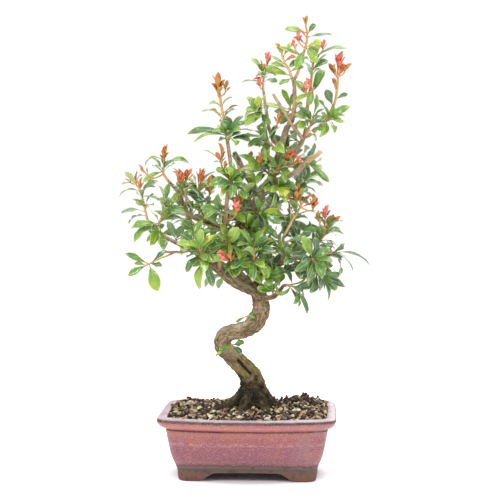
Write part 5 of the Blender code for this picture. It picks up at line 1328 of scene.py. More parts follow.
def bunch(start, tip, count, width, twist):
    """Small upright leaves that crowd round the end of a twig."""
    way = (tip - start).normalized()
    length = (tip - start).length
    grown = []
    for k in range(count):
        spoke = spoke_of(way, twist + GOLDEN_TURN * k)
        lean = BUD_SPREAD * (0.25 + 0.75 * k / count)
        base = start + way * (0.3 * length * (1 - k / count)) + spoke * (0.3 * BUD_TWIG)
        reach = length * (0.8 - 0.35 * k / count)
        end = base + (way * math.cos(lean) + spoke * math.sin(lean)) * reach
        face = way * math.sin(lean) - spoke * math.cos(lean)
        grown.append(Leaf(base, end, face, width, -0.5 * MM, "red"))
    return grown


stem_points = [p for _, stem in shoot_stems.values() for p in stem.points]
stem_points += [p for name, stem in fine_wood.items() for p in stem.points if stem.radii[0] < 4 * MM]
twig_finder = finder_of(stem_points)
heap = Heap()
bud_rng = random.Random(SEED + 700)
longest = 0.0
for across, up, back, lean_across, rise, count, width, redness in BUDS:
    start = seen_at(across, up, back)
    tip = seen_at(across + lean_across, up + rise, back - 2)
    root, _, away = twig_finder.find(start - Vector((0, 0, 4 * MM)))
    longest = max(longest, away)
    if away > MM:
        bend = root.lerp(start, 0.6) - Vector((0, 0, 0.12 * away))
        twig_radii = [BUD_TWIG * s for s in (1.1, 1, 0.9, 0.7)]
        add_stem(heap, curve([root, bend, start, start.lerp(tip, 0.2)], twig_radii, 2 * MM), 0.55, 0.95)
    for leaf in bunch(start, tip, int(count), width * MM, bud_rng.uniform(0, 6)):
        add_leaf(heap, leaf, bud_rng, redness)
buds = heap.build("opening_buds", leaf_materials)
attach(buds, "root")
print("bunches:", len(BUDS), "longest twig:", round(longest / MM), "mm")

# %% The rosettes
heap = Heap()
for name, stem, grown in spurs:
    add_stem(heap, stem, 0.1, 0.4)
    for leaf in grown:
        add_leaf(heap, leaf, spur_rng)
rosettes = heap.build("rosettes", leaf_materials)
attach(rosettes, "root")
print("rosette faces:", len(rosettes.data.polygons))

# %% [markdown]
# ## The old wood
# The trunk, its roots and the older limbs are one living body, and where a limb leaves the trunk
# the wood swells into a collar. Separate tubes would show sharp joins, so the thick stems are
# filled with small cubes, skinned again and smoothed. Thin twigs keep their own tubes.

# %% Joining the thick stems
THICK = 2.4 * MM
SKIN_CUBE = 1.1 * MM
SMOOTHING = 3
# Smoothing thins a stem by about this much, so its radius is given it beforehand.
SKIN_LOSS = 0.3 * MM
TRUNK_SIDES = 28
LIMB_SIDES = 14


def applied(obj):
    """Turn an object's modifiers into its plain mesh, and remove them."""
    graph = bpy.context.evaluated_depsgraph_get()
    plain = bpy.data.meshes.new_from_object(obj.evaluated_get(graph))
    obj.modifiers.clear()
    old = obj.data
    obj.data = plain
    bpy.data.meshes.remove(old)
    return obj


def is_thick(name):
    """Whether a stem is part of the joined skin."""
    return name == "trunk" or name.startswith("root") or fine_wood[name].radii[0] > THICK


thick = Heap()
for name, stem in fine_wood.items():
    if is_thick(name):
        sides = TRUNK_SIDES if name == "trunk" else LIMB_SIDES
        thick.add(*Stem(stem.points, [r + SKIN_LOSS for r in stem.radii]).shape(sides), [], [])
old_wood = bare_object("old_wood", thick.points, thick.faces)
skin = old_wood.modifiers.new("skin", "REMESH")
skin.mode = "VOXEL"
skin.voxel_size = SKIN_CUBE
even = old_wood.modifiers.new("even", "SMOOTH")
even.iterations = SMOOTHING
even.factor = 0.5
applied(old_wood)
print("thick wood:", len(old_wood.data.vertices), "points")

# %% [markdown]
# ## Following the grain
# Bark cracks and fibres run along a stem, round every bend. For each point of the skin the
# nearest stem is found, and the point is written as a place round that stem and a distance
# along it. A pattern in these straightened coordinates follows the wood by itself.

# %% The grain of the wood
# The tone of a stem at its foot and at its end: 0 is old grey bark, 1 is young tan bark.
tone_rows = [row.split() for row in """
dead_top .05 .12, tan_stub .5 .78, spire .8 1, mast .7 .85, right_stem .7 1, right_arm .75 1,
left_top .6 .8, tan_twig .7 .8, cut_stub .5 .3, right_limb .35 .6, low_limb .35 .4,
left_limb .4 .6, trunk .35 .45, leader .4 .6""".split(",")]
TONES = {name: (float(first), float(last)) for name, first, last in tone_rows}
USUAL_TONE = (0.4, 0.6)
ROOT_TONE = (0.14, 0.05)
STUB_TONE = (0.5, 0.75)
samples = []


def tones_of(name):
    """The tone at a stem's foot and at its end."""
    usual = ROOT_TONE if name.startswith("root") else STUB_TONE if name.endswith("_stub") else USUAL_TONE
    return TONES.get(name, usual)


for name, stem in fine_wood.items():
    tones = tones_of(name)
    direction = (stem.points[1] - stem.points[0]).normalized()
    normal = direction.orthogonal().normalized()
    for k, point in enumerate(stem.points):
        direction = (stem.points[min(k + 1, len(stem.points) - 1)] - stem.points[max(k - 1, 0)]).normalized()
        normal = (normal - direction * normal.dot(direction)).normalized()
        share = stem.marks[k] / stem.length
        tone = tones[0] + (tones[1] - tones[0]) * share
        side = direction.cross(normal)
        samples.append((point, direction, normal, side, stem.marks[k], stem.radii[k], tone))
finder = finder_of([sample[0] for sample in samples])


def nearest_sample(place):
    """The stem point whose surface lies nearest to a place."""
    found = finder.find_n(place, 6)
    return samples[min(found, key=lambda f: abs(f[2] - samples[f[1]][5]))[1]]


def grain_at(place, sample):
    """A place as seen by its stem: across, across and along, in millimetres."""
    point, direction, normal, side, mark, _, _ = sample
    away = place - point
    return Vector((away.dot(normal), away.dot(side), mark + away.dot(direction))) / MM


print("stem points:", len(samples))

# %% [markdown]
# ## Bark relief
# The trunk of a pomegranate is twisted and ribbed. Long ribs run along it, with small knobs and
# old leaf scars, and here a cleft opens below the bend, where two ribs part. Its darkness is
# painted shade.

# %% Ribs, knobs and the cleft
CLEFT = [seen_at(-10.4, 104.5, -7), seen_at(-5.5, 98.5, -7), seen_at(-1.5, 94.5, -8), seen_at(1.5, 91.5, -9)]
CLEFT_HALF = 2.1 * MM
CLEFT_DEPTH = 4.6 * MM
CLEFT_LOW = 90 * MM
CLEFT_HIGH = 150 * MM
MOSS_TOP = 120.0 * MM
# Old leaf scars and mossy spots: where each is, and how far it reaches in millimetres.
SCARS = [(seen_at(12, 130, -6), 1.6), (seen_at(-3, 163, -6), 1.5), (seen_at(18.5, 158, -4), 1.4),
         (seen_at(17, 163, -3), 1.6), (seen_at(2, 166, -3), 1.6), (seen_at(8.5, 133.5, -8), 1.3),
         (seen_at(-11, 165, -4), 1.6), (seen_at(-17, 100, -3), 1.3), (seen_at(10, 150, -9), 1.2)]
MOSS_SPOTS = [(seen_at(5.5, 97, -6), 5.0), (seen_at(9, 91, -4), 6.0), (seen_at(-6, 92, -6), 4.5)]


def cleft_share(place):
    """How deep in the cleft a place is, from 0 to 1."""
    if not CLEFT_LOW <= place.z <= CLEFT_HIGH:
        return 0.0
    nearest = 1.0
    for a, b in zip(CLEFT, CLEFT[1:]):
        along = clamp((place - a).dot(b - a) / (b - a).length_squared)
        gap = place - a.lerp(b, along)
        nearest = min(nearest, math.hypot(gap.x, gap.z) + max(0.0, gap.y - 4 * MM))
    return fade(nearest, CLEFT_HALF)


# A painted highlight: a pale spot on the upper left of the bend, where the light falls.
LIT_BEND_SPOT = seen_at(-25, 133, -12)


def moss_share(place):
    """How mossy, how wet and how shaded a place on the wood is. Only the foot is wet."""
    # The moss ends in a ragged line, lower on the right, and the left root is nearly bare.
    edge = MOSS_TOP + (15 * noise.noise(place * 42) + 8 * noise.noise(place * 150)) * MM
    edge -= 9 * MM * clamp((place.x - 6 * MM) / (10 * MM))
    foot = clamp((edge - place.z) / (12 * MM))
    left_root = clamp((-12 * MM - place.x) / (9 * MM))
    olive = clamp((150 * MM - place.z) / (70 * MM) + 0.3 * noise.noise(place * 90), 0.45)
    patch = max(fade((place - spot).length, reach * MM) for spot, reach in MOSS_SPOTS)
    foot *= 1 - 0.7 * left_root
    return max(foot, 0.8 * patch, olive * (1 - left_root)), foot, left_root * (place.z < 105 * MM)


print("leaf scars:", len(SCARS), "mossy spots:", len(MOSS_SPOTS))


# %% Moving the skin
# Heights of the relief in millimetres. Thin limbs get less of it than wood of full size. Ribs
# are about 6 mm wide and 30 mm long, knobs 3 to 5 mm, and the rough grain between them 1.4 mm.
RIB_HEIGHT = 2.3
KNOB_HEIGHT = 1.1
GRAIN_HEIGHT = 0.45
SCAR_HEIGHT = 1.7
FULL_SIZE = 9 * MM
mesh = old_wood.data
count = len(mesh.vertices)
places = [v.co.copy() for v in mesh.vertices]
normals = [v.normal.copy() for v in mesh.vertices]
grain, moved = np.zeros((2, count, 3), np.float32)
ages, moss, wet, wear = np.zeros((4, count), np.float32)
for k, place in enumerate(places):
    sample = nearest_sample(place)
    grain[k] = local = grain_at(place, sample)
    ages[k] = sample[6]
    size = min(1.0, sample[5] / FULL_SIZE)
    ribs = noise.noise(Vector((local.x * 0.16, local.y * 0.16, local.z * 0.03)))
    knobs = noise.noise(Vector((local.x * 0.3, local.y * 0.3, local.z * 0.22)) + Vector((9, 9, 9)))
    rough = noise.noise(place * 700)
    reach = (RIB_HEIGHT * ribs * size + KNOB_HEIGHT * knobs * (0.25 + size) + GRAIN_HEIGHT * rough) * MM
    scarred = max(fade((place - scar).length, scar_size * MM) for scar, scar_size in SCARS)
    cleft = cleft_share(place)
    moss[k], wet[k], shady = moss_share(place)
    cushion = moss[k] * (0.36 + 1.3 * noise.noise(place * 330))
    reach += (SCAR_HEIGHT * scarred + cushion) * MM - CLEFT_DEPTH * cleft
    # Painted light: faces that look up on the upper trunk, the spot on the bend and the wood above 270 mm are
    # painted paler, as if lit from above.
    sunlit = max(0.0, normals[k].z) * clamp((place.z / MM - 136) / 25)
    sunlit += 0.85 * fade((place - LIT_BEND_SPOT).length, 24 * MM) + 0.4 * clamp((place.z / MM - 270) / 40)
    sunlit = min(1.0, sunlit * max(0.2, 0.8 + 1.2 * noise.noise(place * 40)))
    # Painted shade: the hollows between the ribs, the cleft and the shady low left root are painted darker.
    # The old leaf scars are darker too, which is their own colour.
    hollow = 0.6 * max(0.0, -1.6 * ribs * size - 0.3)
    wear[k] = 0.5 + 0.5 * sunlit - 0.5 * min(1.0, 1.1 * cleft + 0.8 * scarred + hollow + 0.55 * shady)
    moved[k] = place + normals[k] * reach
mesh.vertices.foreach_set("co", moved.ravel())
mesh.update()
print("mossy points:", int((moss > 0.3).sum()))

# %% [markdown]
# ## Bark
# Pomegranate bark is dry and fibrous: grey-brown on the trunk, orange-tan on young twigs and
# grey on dead wood. It is dull, so the roughness is high, and its fibres give fine long
# streaks. Low on the trunk it is damp and almost black, with moss in the cracks.

# %% The bark material
# The grain is in millimetres, so the fibres are about 1.3 mm wide and 8 mm long. Real ones are a
# few tenths of a millimetre wide, which wouldn't show.
bark, tree, shader = start_material("dry pomegranate bark", Roughness=0.85, IOR=1.45, Specular_IOR_Level=0.3)
fibre_place = add_node(tree, "Attribute", attribute_name="grain").outputs["Vector"]
age, mossy, damp, light_shade_and_scars = [add_node(tree, "Attribute", attribute_name=layer).outputs["Fac"]
                          for layer in ("tone", "moss", "wet", "wear")]
place = add_node(tree, "TexCoord").outputs["Object"]
stretch = add_node(tree, "Mapping", {"Vector": fibre_place, "Scale": (1.0, 1.0, 0.16)})
fibres = add_node(tree, "TexNoise", {
    "Vector": stretch, "Scale": 0.75, "Detail": 6.0, "Roughness": 0.65, "Distortion": 0.4})
blotches = add_node(tree, "TexNoise", {"Vector": place, "Scale": 110.0, "Detail": 3.0})
flecked = add_node(tree, "Mapping", {"Vector": fibre_place, "Scale": (1.0, 1.0, 0.4)})
specks = add_node(tree, "TexNoise", {"Vector": flecked, "Scale": 0.6, "Detail": 4.0})
aged = add_node(tree, "Math", {0: blotches, 1: 1.1, 2: age}, operation="MULTIPLY_ADD")
aged_low = add_node(tree, "Math", {0: aged, 1: 0.52}, operation="SUBTRACT")
bark_colours = add_node(tree, "ValToRGB", {"Fac": aged_low}, [
    (0.0, "4A443C"), (0.22, "645640"), (0.42, "7F6B4C"), (0.65, "987A57"), (0.85, "B48A5E"), (1.0, "CC9A68")])
print("bark colours:", len(bark_colours.color_ramp.elements))

# %% Cracks, flecks, painted highlight, painted shade and the damp foot
crack_depth = add_node(tree, "MapRange", {"Value": age}, span=(0.5, 0.8, 0.85, 0.2))
# The last tint here is a painted highlight, pale where the painted light is strong.
dry = tinted(tree, bark_colours, [
    (fibres, (0.52, 0.36, 0.0, crack_depth), "3A2E20"), (specks, (0.52, 0.68, 0.0, 0.55), "C2B08C"),
    (specks, (0.46, 0.34, 0.0, 0.6), "443526"), (light_shade_and_scars, (0.55, 1.0, 0.0, 0.85), "D2C6AE")])
wetness = add_node(tree, "Math", {0: damp, 1: -0.58, 2: fibres}, operation="MULTIPLY_ADD")
dampness = add_node(tree, "Math", {0: blotches, 1: wetness}, operation="ADD")
damp_colours = add_node(tree, "ValToRGB", {"Fac": dampness}, [
    (0.3, "231E17"), (0.44, "352E23"), (0.54, "54432D"), (0.62, "695736"), (0.85, "6A652C"), (1.0, "8A8038")])
mossed = add_node(tree, "MixRGB", {"Fac": mossy, "Color1": dry, "Color2": damp_colours})
# Painted shade: dark where the painted light is weak, in the hollows, in the cleft and on the low left root.
# The scars darken too, in their own colour.
shaded = tinted(tree, mossed, [(light_shade_and_scars, (0.45, 0.08, 0.0, 0.96), "1A120C")])
relief = add_node(tree, "Math", {0: specks, 1: 0.35, 2: fibres}, operation="MULTIPLY_ADD")
bump = add_node(tree, "Bump", {"Height": relief, "Strength": 1.0, "Distance": 1.4 * MM})
plug(tree, shader, {"Base Color": shaded, "Normal": bump})
print("bark nodes:", len(tree.nodes))

# %% The thin twigs join the wood
wood_heap = Heap()
thin_grain = []
for name, stem in fine_wood.items():
    if not is_thick(name):
        points, faces, pattern = stem_body(stem, STEM_SIDES, STEM_SWELL)
        tones = tones_of(name)
        shares = [mark / stem.length for mark in stem.marks for _ in range(STEM_SIDES)]
        wood_heap.add(points, faces, pattern, [tones[0] + (tones[1] - tones[0]) * t for t in shares])
        thin_grain += [tuple(grain_at(p, nearest_sample(p))) for p in points]
first = len(wood_heap.points)
thick_faces = [tuple(p.vertices) for p in mesh.polygons]
wood_heap.add([Vector(p) for p in moved], thick_faces, [(0.0, 0.0)] * count, [float(a) for a in ages])
bonsai_wood = wood_heap.build("bonsai_wood", [bark])
grain_layer = bonsai_wood.data.attributes.new("grain", "FLOAT_VECTOR", "POINT")
grain_layer.data.foreach_set("vector", np.concatenate([np.array(thin_grain, np.float32), grain]).ravel())
# The thin twigs all get 0.66, which pales them a little: a slight painted highlight.
for layer_name, on_twigs, values in (("moss", 0.0, moss), ("wet", 0.0, wet), ("wear", 0.66, wear)):
    keep_values(bonsai_wood.data, layer_name, np.concatenate([np.full(first, on_twigs, np.float32), values]))
bpy.data.objects.remove(old_wood)
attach(bonsai_wood, "root")
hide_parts("trunk")
print("wood faces:", len(bonsai_wood.data.polygons))

# %% [markdown]
# ## A tree of geometry nodes
# Moss and grit are thousands of small things on a surface, which is what Geometry Nodes are for.
# This helper starts a node tree with named sizes, and another runs it on an object once.

# %% Starting and running geometry nodes
def start_scatter(name, sizes):
    """A geometry node tree with one number input for each size."""
    tree = bpy.data.node_groups.new(name, "GeometryNodeTree")
    tree.interface.new_socket("Geometry", in_out="INPUT", socket_type="NodeSocketGeometry")
    tree.interface.new_socket("Geometry", in_out="OUTPUT", socket_type="NodeSocketGeometry")
    for size, value in sizes.items():
        kind = "NodeSocketInt" if isinstance(value, int) else "NodeSocketFloat"
        tree.interface.new_socket(size, in_out="INPUT", socket_type=kind)
    return tree, tree.nodes.new("NodeGroupInput").outputs


def end_scatter(tree, plants, palest, seed, material):
    """Give each plant or grain a random tone, make them all real and paint them."""
    hue = add_node(tree, "FunctionNodeRandomValue", {2: 0.0, 3: palest, "Seed": seed}, data_type="FLOAT")
    hued = add_node(tree, "GeometryNodeStoreNamedAttribute", {
        "Geometry": plants, "Name": "tone", "Value": hue.outputs[1]}, data_type="FLOAT", domain="INSTANCE")
    real = add_node(tree, "GeometryNodeRealizeInstances", {"Geometry": hued})
    painted = add_node(tree, "GeometryNodeSetMaterial", {"Geometry": real, "Material": material})
    add_node(tree, "NodeGroupOutput", {"Geometry": painted})


def run_scatter(obj, tree, sizes):
    """Run a node tree on an object and keep what it makes as the object's plain mesh."""
    step = obj.modifiers.new(tree.name, "NODES")
    step.node_group = tree
    for item in tree.interface.items_tree:
        if item.item_type == "SOCKET" and item.name in sizes:
            step[item.identifier] = sizes[item.name]
    return applied(obj)


print("geometry helpers ready")

# %% [markdown]
# ## Moss
# The foot of the trunk is covered in short moss. Each plant is a pointed blade 1 to 2.5 mm long,
# three-sided because nobody can see more, growing more or less straight out of the bark. Moss is
# damp but never glossy, so its roughness is high.

# %% The moss material
moss_green, tree, shader = start_material("damp moss", Roughness=0.8)
tone = add_node(tree, "Attribute", attribute_name="tone").outputs["Fac"]
moss_colours = add_node(tree, "ValToRGB", {"Fac": tone}, [
    (0.0, "24241A"), (0.4, "34331F"), (0.7, "424322"), (0.9, "625F2B"), (1.0, "938B45")])
plug(tree, shader, {"Base Color": moss_colours})
print("moss nodes:", len(tree.nodes))

# %% Growing the moss
moss_sizes = {
    "Plants per square metre": 300000.0, "Blade length": 2.0 * MM, "Blade radius": 0.28 * MM, "Seed": 7}
tree, start = start_scatter("moss_blades", moss_sizes)
cover = add_node(tree, "GeometryNodeInputNamedAttribute", {"Name": "moss"}, data_type="FLOAT")
share = add_node(tree, "Math", {0: cover.outputs["Attribute"], 1: 4.0}, operation="POWER")
dense = add_node(tree, "Math", {0: start["Plants per square metre"], 1: share}, operation="MULTIPLY")
spots = add_node(tree, "GeometryNodeDistributePointsOnFaces", {
    "Mesh": start["Geometry"], "Density": dense, "Seed": start["Seed"]}, distribute_method="RANDOM")
blade = add_node(tree, "GeometryNodeMeshCone", {
    "Vertices": 3, "Side Segments": 1, "Fill Segments": 1, "Radius Top": 0.0,
    "Radius Bottom": start["Blade radius"], "Depth": start["Blade length"]})
tilt = add_node(tree, "FunctionNodeRandomValue", {0: (-0.7, -0.7, -3.0), 1: (0.7, 0.7, 3.0)},
                data_type="FLOAT_VECTOR")
tilted = add_node(tree, "FunctionNodeRotateRotation", {
    "Rotation": spots.outputs["Rotation"], "Rotate By": tilt}, rotation_space="LOCAL")
grown = add_node(tree, "FunctionNodeRandomValue", {2: 0.45, 3: 1.3}, data_type="FLOAT")
plants = add_node(tree, "GeometryNodeInstanceOnPoints", {"Points": spots, "Instance": blade,
    "Rotation": tilted, "Scale": grown.outputs[1]})
end_scatter(tree, plants, 1.0, 3, moss_green)
moss_plants = bpy.data.objects.new("moss", bonsai_wood.data.copy())
bpy.context.scene.collection.objects.link(moss_plants)
run_scatter(moss_plants, tree, moss_sizes)
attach(moss_plants, "root")
print("moss faces:", len(moss_plants.data.polygons))

# %% [markdown]
# ## The pot's shape
# The pot is slab-built stoneware: a tapered oblong body on four corner feet under a moulded lip
# that sags a little between its corners. It is made as rings of points, one for each height of
# its section, which keeps every corner round and gives the hand-made sag and bow with one rule.

# %% The rings of the pot
RIM_HALF_WIDTH = 101.5 * MM
RIM_HALF_DEPTH = 75.0 * MM
RIM_HEIGHT = 75.8 * MM
RIM_SAG = 2.7 * MM
SIDE_BOW = 1.2 * MM
LIP_HEIGHT = 60.3 * MM
SAG_START = 18.0 * MM
FLOOR_TOP = 18.0 * MM
CORNER_STEPS = 10
LONG_STEPS = 30
SHORT_STEPS = 18


def ring_plan(half_width, half_depth, radius):
    """Points round an oblong with round corners, evenly spaced along its sides."""
    points = []
    for corner, (sx, sy) in enumerate(((1, 1), (-1, 1), (-1, -1), (1, -1))):
        for k in range(CORNER_STEPS + 1):
            turn = math.pi / 2 * (corner + k / CORNER_STEPS)
            points.append((sx * (half_width - radius) + radius * math.cos(turn),
                           sy * (half_depth - radius) + radius * math.sin(turn)))
        steps = LONG_STEPS if corner % 2 == 0 else SHORT_STEPS
        for k in range(1, steps):
            side = 1 - 2 * k / steps
            if corner % 2 == 0:
                points.append((side * sx * (half_width - radius), sy * half_depth))
            else:
                points.append((sx * half_width, side * sy * (half_depth - radius)))
    return points


def sag_at(x, y, height, half_width, half_depth):
    """How far the pot's long sides sag at a place."""
    share = 1.0 if height > LIP_HEIGHT else max(0.0, (height - SAG_START) / (RIM_HEIGHT - SAG_START))
    edge = clamp((abs(y) / half_depth - 0.6) / 0.3)
    return RIM_SAG * share * edge * max(0.0, 1 - (x / half_width) ** 2)


def pot_ring(inset, height, radius):
    """One ring of the pot's section, given in millimetres."""
    half_width = RIM_HALF_WIDTH - inset * MM
    half_depth = RIM_HALF_DEPTH - inset * MM
    ring = []
    for x, y in ring_plan(half_width, half_depth, radius * MM):
        bow = SIDE_BOW * (x / half_width) * (1 - (y / half_depth) ** 2)
        drop = sag_at(x, y, height * MM, half_width, half_depth)
        ring.append(Vector((x + bow, y, height * MM - drop)))
    return ring


def loft(rings):
    """Points and faces of a closed skin over rings of equal count."""
    return [p for ring in rings for p in ring], tube_faces(len(rings), len(rings[0]))


most_sag = sag_at(0, RIM_HALF_DEPTH, RIM_HEIGHT, RIM_HALF_WIDTH, RIM_HALF_DEPTH)
print("the rim sags by", round(most_sag / MM, 1), "mm")

# %% The section of the pot
# Each row is an inset from the rim's outer edge, a height and a corner radius, in millimetres.
POT_SECTION = read_numbers("""
35.6 10.4 4, 35.6 5 4, 35.6 .4 4, 35 0 4, 30 0 7, 24.9 0 10, 24 .3 10.5, 23.4 .9 11, 22.7 2 11.5,
22.3 3.4 12, 22 6 12, 21.9 9 12, 21.7 12 12, 21.2 14.2 12, 20.4 16.5 12, 19.4 19 12, 18.3 21.5 12.5,
17.2 24 13, 15.9 27.3 13.5, 14.8 30.5 14, 13.6 36 14, 12.5 42 14, 11.3 48.5 14, 10.2 54.5 14.5,
9.1 60.3 15, 9.5 61.3 15, 9.5 62 15, 8.8 62.5 14, 7.7 62.8 13.5, 6.5 63.3 13, 5.1 64.1 12.5,
3.7 65.3 12, 2.4 66.9 12, 1.2 69 12, .4 70.8 12, .1 72.4 12, .15 73.1 12, .5 73.8 12, 1.3 74.6 12,
2.6 75.3 11, 4.5 75.7 11, 7 75.8 10, 9.2 75.6 9, 10.4 75.1 9, 11.2 74.3 8.5, 11.7 73 8, 13 68 8,
16 56.5 8, 20 41 8, 24.8 22.4 8, 26.5 19.6 8, 30 18 8""")
pot_points, pot_faces = loft([pot_ring(*row) for row in POT_SECTION])
fine_pot = bare_object("fine_pot", pot_points, pot_faces)
print("pot rings:", len(POT_SECTION), "points in a ring:", len(pot_ring(0, 70, 12)))

# %% [markdown]
# ## Arches and drain holes
# Between the feet the pot is cut away in flat arches with curved shoulders, for air and for
# fingers, and water leaves through two round holes. These are cut with Boolean modifiers.

# %% Cutting the arches and the holes
ARCH_HEIGHT = 10.1 * MM
ARCH_TOP_HALF = 34.5 * MM
ARCH_FOOT_HALF = 60.0 * MM
SIDE_ARCH_SHRINK = 25.0 * MM
SHOULDER_STEPS = 14
DRAIN_RADIUS = 8.0 * MM
DRAIN_SIDES = 40
DRAIN_PLACES = (-45.0 * MM, 45.0 * MM)


def arch_body(shrink, depth, turn):
    """The space under the pot between two feet. The arches of the short sides are shrunk."""
    top_half = ARCH_TOP_HALF - shrink
    foot_half = ARCH_FOOT_HALF - shrink
    side = [(foot_half + 0.6 * MM, -2 * MM)]
    for k in range(SHOULDER_STEPS + 1):
        t = k / SHOULDER_STEPS
        rise = ARCH_HEIGHT * (0.5 - 0.5 * math.cos(math.pi * t)) ** 1.25
        side.append((foot_half + (top_half - foot_half) * t, rise - 0.2 * MM * (1 - t)))
    profile = side + [(-x, z) for x, z in reversed(side)]
    rotation = Matrix.Rotation(turn, 3, "Z")
    rings = [[rotation @ Vector((x, y, z)) for x, z in profile] for y in (depth, -depth)]
    return bare_object("arch", *loft(rings))


def drain_body(x):
    """A round rod through the floor."""
    turns = [k * math.tau / DRAIN_SIDES for k in range(DRAIN_SIDES)]
    rings = [[Vector((x + DRAIN_RADIUS * math.cos(t), DRAIN_RADIUS * math.sin(t), z)) for t in turns]
             for z in (0.0, 2 * FLOOR_TOP)]
    return bare_object("drain", *loft(rings))


cutters = [arch_body(0, RIM_HALF_DEPTH, 0), arch_body(SIDE_ARCH_SHRINK, RIM_HALF_WIDTH, math.pi / 2)]
cutters += [drain_body(x) for x in DRAIN_PLACES]
for cutter in cutters:
    cut = fine_pot.modifiers.new(cutter.name, "BOOLEAN")
    cut.operation = "DIFFERENCE"
    cut.solver = "EXACT"
    cut.object = cutter
applied(fine_pot)
for cutter in cutters:
    bpy.data.objects.remove(cutter)
print("pot faces after cutting:", len(fine_pot.data.polygons))

# %% [markdown]
# ## A hand-made pot
# Pressed and dried clay is never flat. A slow wave of a few tenths of a millimetre and small dents
# along the lip make the highlights wander as they do on the real pot. The glaze bands follow the
# pot's own height, so each point remembers the height that it had before the sides sagged.

# %% Waves in the clay and the height of the glaze bands
WAVE = 0.55 * MM
DENT = 0.3 * MM
mesh = fine_pot.data
heights = []
for vertex in mesh.vertices:
    place = vertex.co.copy()
    height = place.z
    # The height before the sag, found in three steps.
    for _ in range(3):
        height = place.z + sag_at(place.x, place.y, height, RIM_HALF_WIDTH, RIM_HALF_DEPTH - 9 * MM)
    heights.append(height / MM)
    if place.z > 1.5 * MM:
        outward = Vector((vertex.normal.x, vertex.normal.y, vertex.normal.z * 0.6))
        swing = WAVE * noise.noise(place * 22) + DENT * noise.noise(place * 75)
        vertex.co = place + outward * (swing - 0.25 * MM)
    vertex.co += POT_MIDDLE
keep_values(mesh, "height", heights)
mesh.shade_smooth()
mesh.set_sharp_from_angle(angle=math.radians(38))
mesh.update()
print("tallest point of the pot:", round(max(heights), 1))

# %% [markdown]
# ## Glaze
# The pot wears a satin old-rose glaze over brown stoneware. Where a glaze is thin, on the lip's
# edge and in the groove, the dark clay shows through, and it stops in an uneven line above the
# feet, which stay bare. Fine speckles and violet clouds come from iron in the clay. It is satin,
# so the roughness is about 0.4, and a clear thin coat is left out.

# %% The glaze material
# The bands waver every 8 mm or so, by up to 1.5 mm low down, and the clouds are 26 mm wide.
BAND_TOP = 80.0
glaze, tree, shader = start_material("old-rose satin glaze on stoneware", IOR=1.5)
place = add_node(tree, "TexCoord").outputs["Object"]
level = add_node(tree, "Attribute", attribute_name="height").outputs["Fac"]
clouds = add_node(tree, "TexNoise", {"Vector": place, "Scale": 38.0, "Detail": 4.0})
edge_noise = add_node(tree, "TexNoise", {"Vector": place, "Scale": 130.0, "Detail": 4.0})
fine = add_node(tree, "TexNoise", {"Vector": place, "Scale": 820.0, "Detail": 3.0, "Roughness": 0.75})
wander = add_node(tree, "MapRange", {"Value": edge_noise}, span=(0.3, 0.7, -1.0, 1.0))
waver_size = add_node(tree, "MapRange", {"Value": level}, span=(55.0, 20.0, 0.3, 1.5))
moved_level = add_node(tree, "Math", {0: wander, 1: waver_size, 2: level}, operation="MULTIPLY_ADD")
share = add_node(tree, "Math", {0: moved_level, 1: BAND_TOP}, operation="DIVIDE")
# The last two stops colour the rim's top pale lavender grey: partly the glaze's own colour, partly painted
# reflection of the white room.
bands = add_node(tree, "ValToRGB", {"Fac": share}, [
    (0.0, "5E3E33"), (0.06, "68463A"), (0.15, "5F463E"), (0.175, "50433E"), (0.187, "574A47"),
    (0.198, "635450"), (0.226, "634A49"), (0.234, "5A3A38"), (0.241, "4E2C2C"), (0.254, "70424A"),
    (0.33, "79454E"), (0.5, "7D434F"), (0.64, "86494B"), (0.71, "96584C"), (0.75, "90544C"),
    (0.765, "4F2D2C"), (0.778, "653A38"), (0.79, "A05F58"), (0.83, "B06E62"), (0.88, "965853"),
    (0.896, "2E1F1F"), (0.922, "302222"), (0.937, "CAB8BD"), (1.0, "D2C4C9")])
print("glaze bands:", len(bands.color_ramp.elements))

# %% Clouds, speckles, streaks and wear in the glaze
body = add_node(tree, "MapRange", {"Value": level}, span=(18.5, 24.0, 0.0, 1.0))
clouded = tinted(tree, bands, [
    (clouds, (0.48, 0.7, 0.0, 0.38), "7E465C"), (clouds, (0.46, 0.3, 0.0, 0.5), "9A5B4A")])
on_body = add_node(tree, "MixRGB", {"Fac": body, "Color1": bands, "Color2": clouded})
# The glaze ran thin low on the body and across its middle: streaks 4 mm long and 1.5 mm high.
streak_place = add_node(tree, "Mapping", {"Vector": place, "Scale": (1.0, 1.0, 3.0)})
streaks = add_node(tree, "TexNoise", {
    "Vector": streak_place, "Scale": 230.0, "Detail": 5.0, "Roughness": 0.75})
streak_share = add_node(tree, "MapRange", {"Value": streaks}, span=(0.46, 0.6, 0.0, 1.0))
streak_level = add_node(tree, "ValToRGB", {"Fac": share}, [
    (0.25, "000000"), (0.29, "909090"), (0.33, "181818"), (0.52, "181818"), (0.56, "C0C0C0"), (0.6, "202020"),
    (0.7, "000000")])
streak_mask = add_node(tree, "Math", {0: streak_share, 1: streak_level}, operation="MULTIPLY")
worn_colour = add_node(tree, "MixRGB", {"Fac": streak_mask, "Color1": on_body, "Color2": linear("CB977C")})
print("streaks and clouds are on")

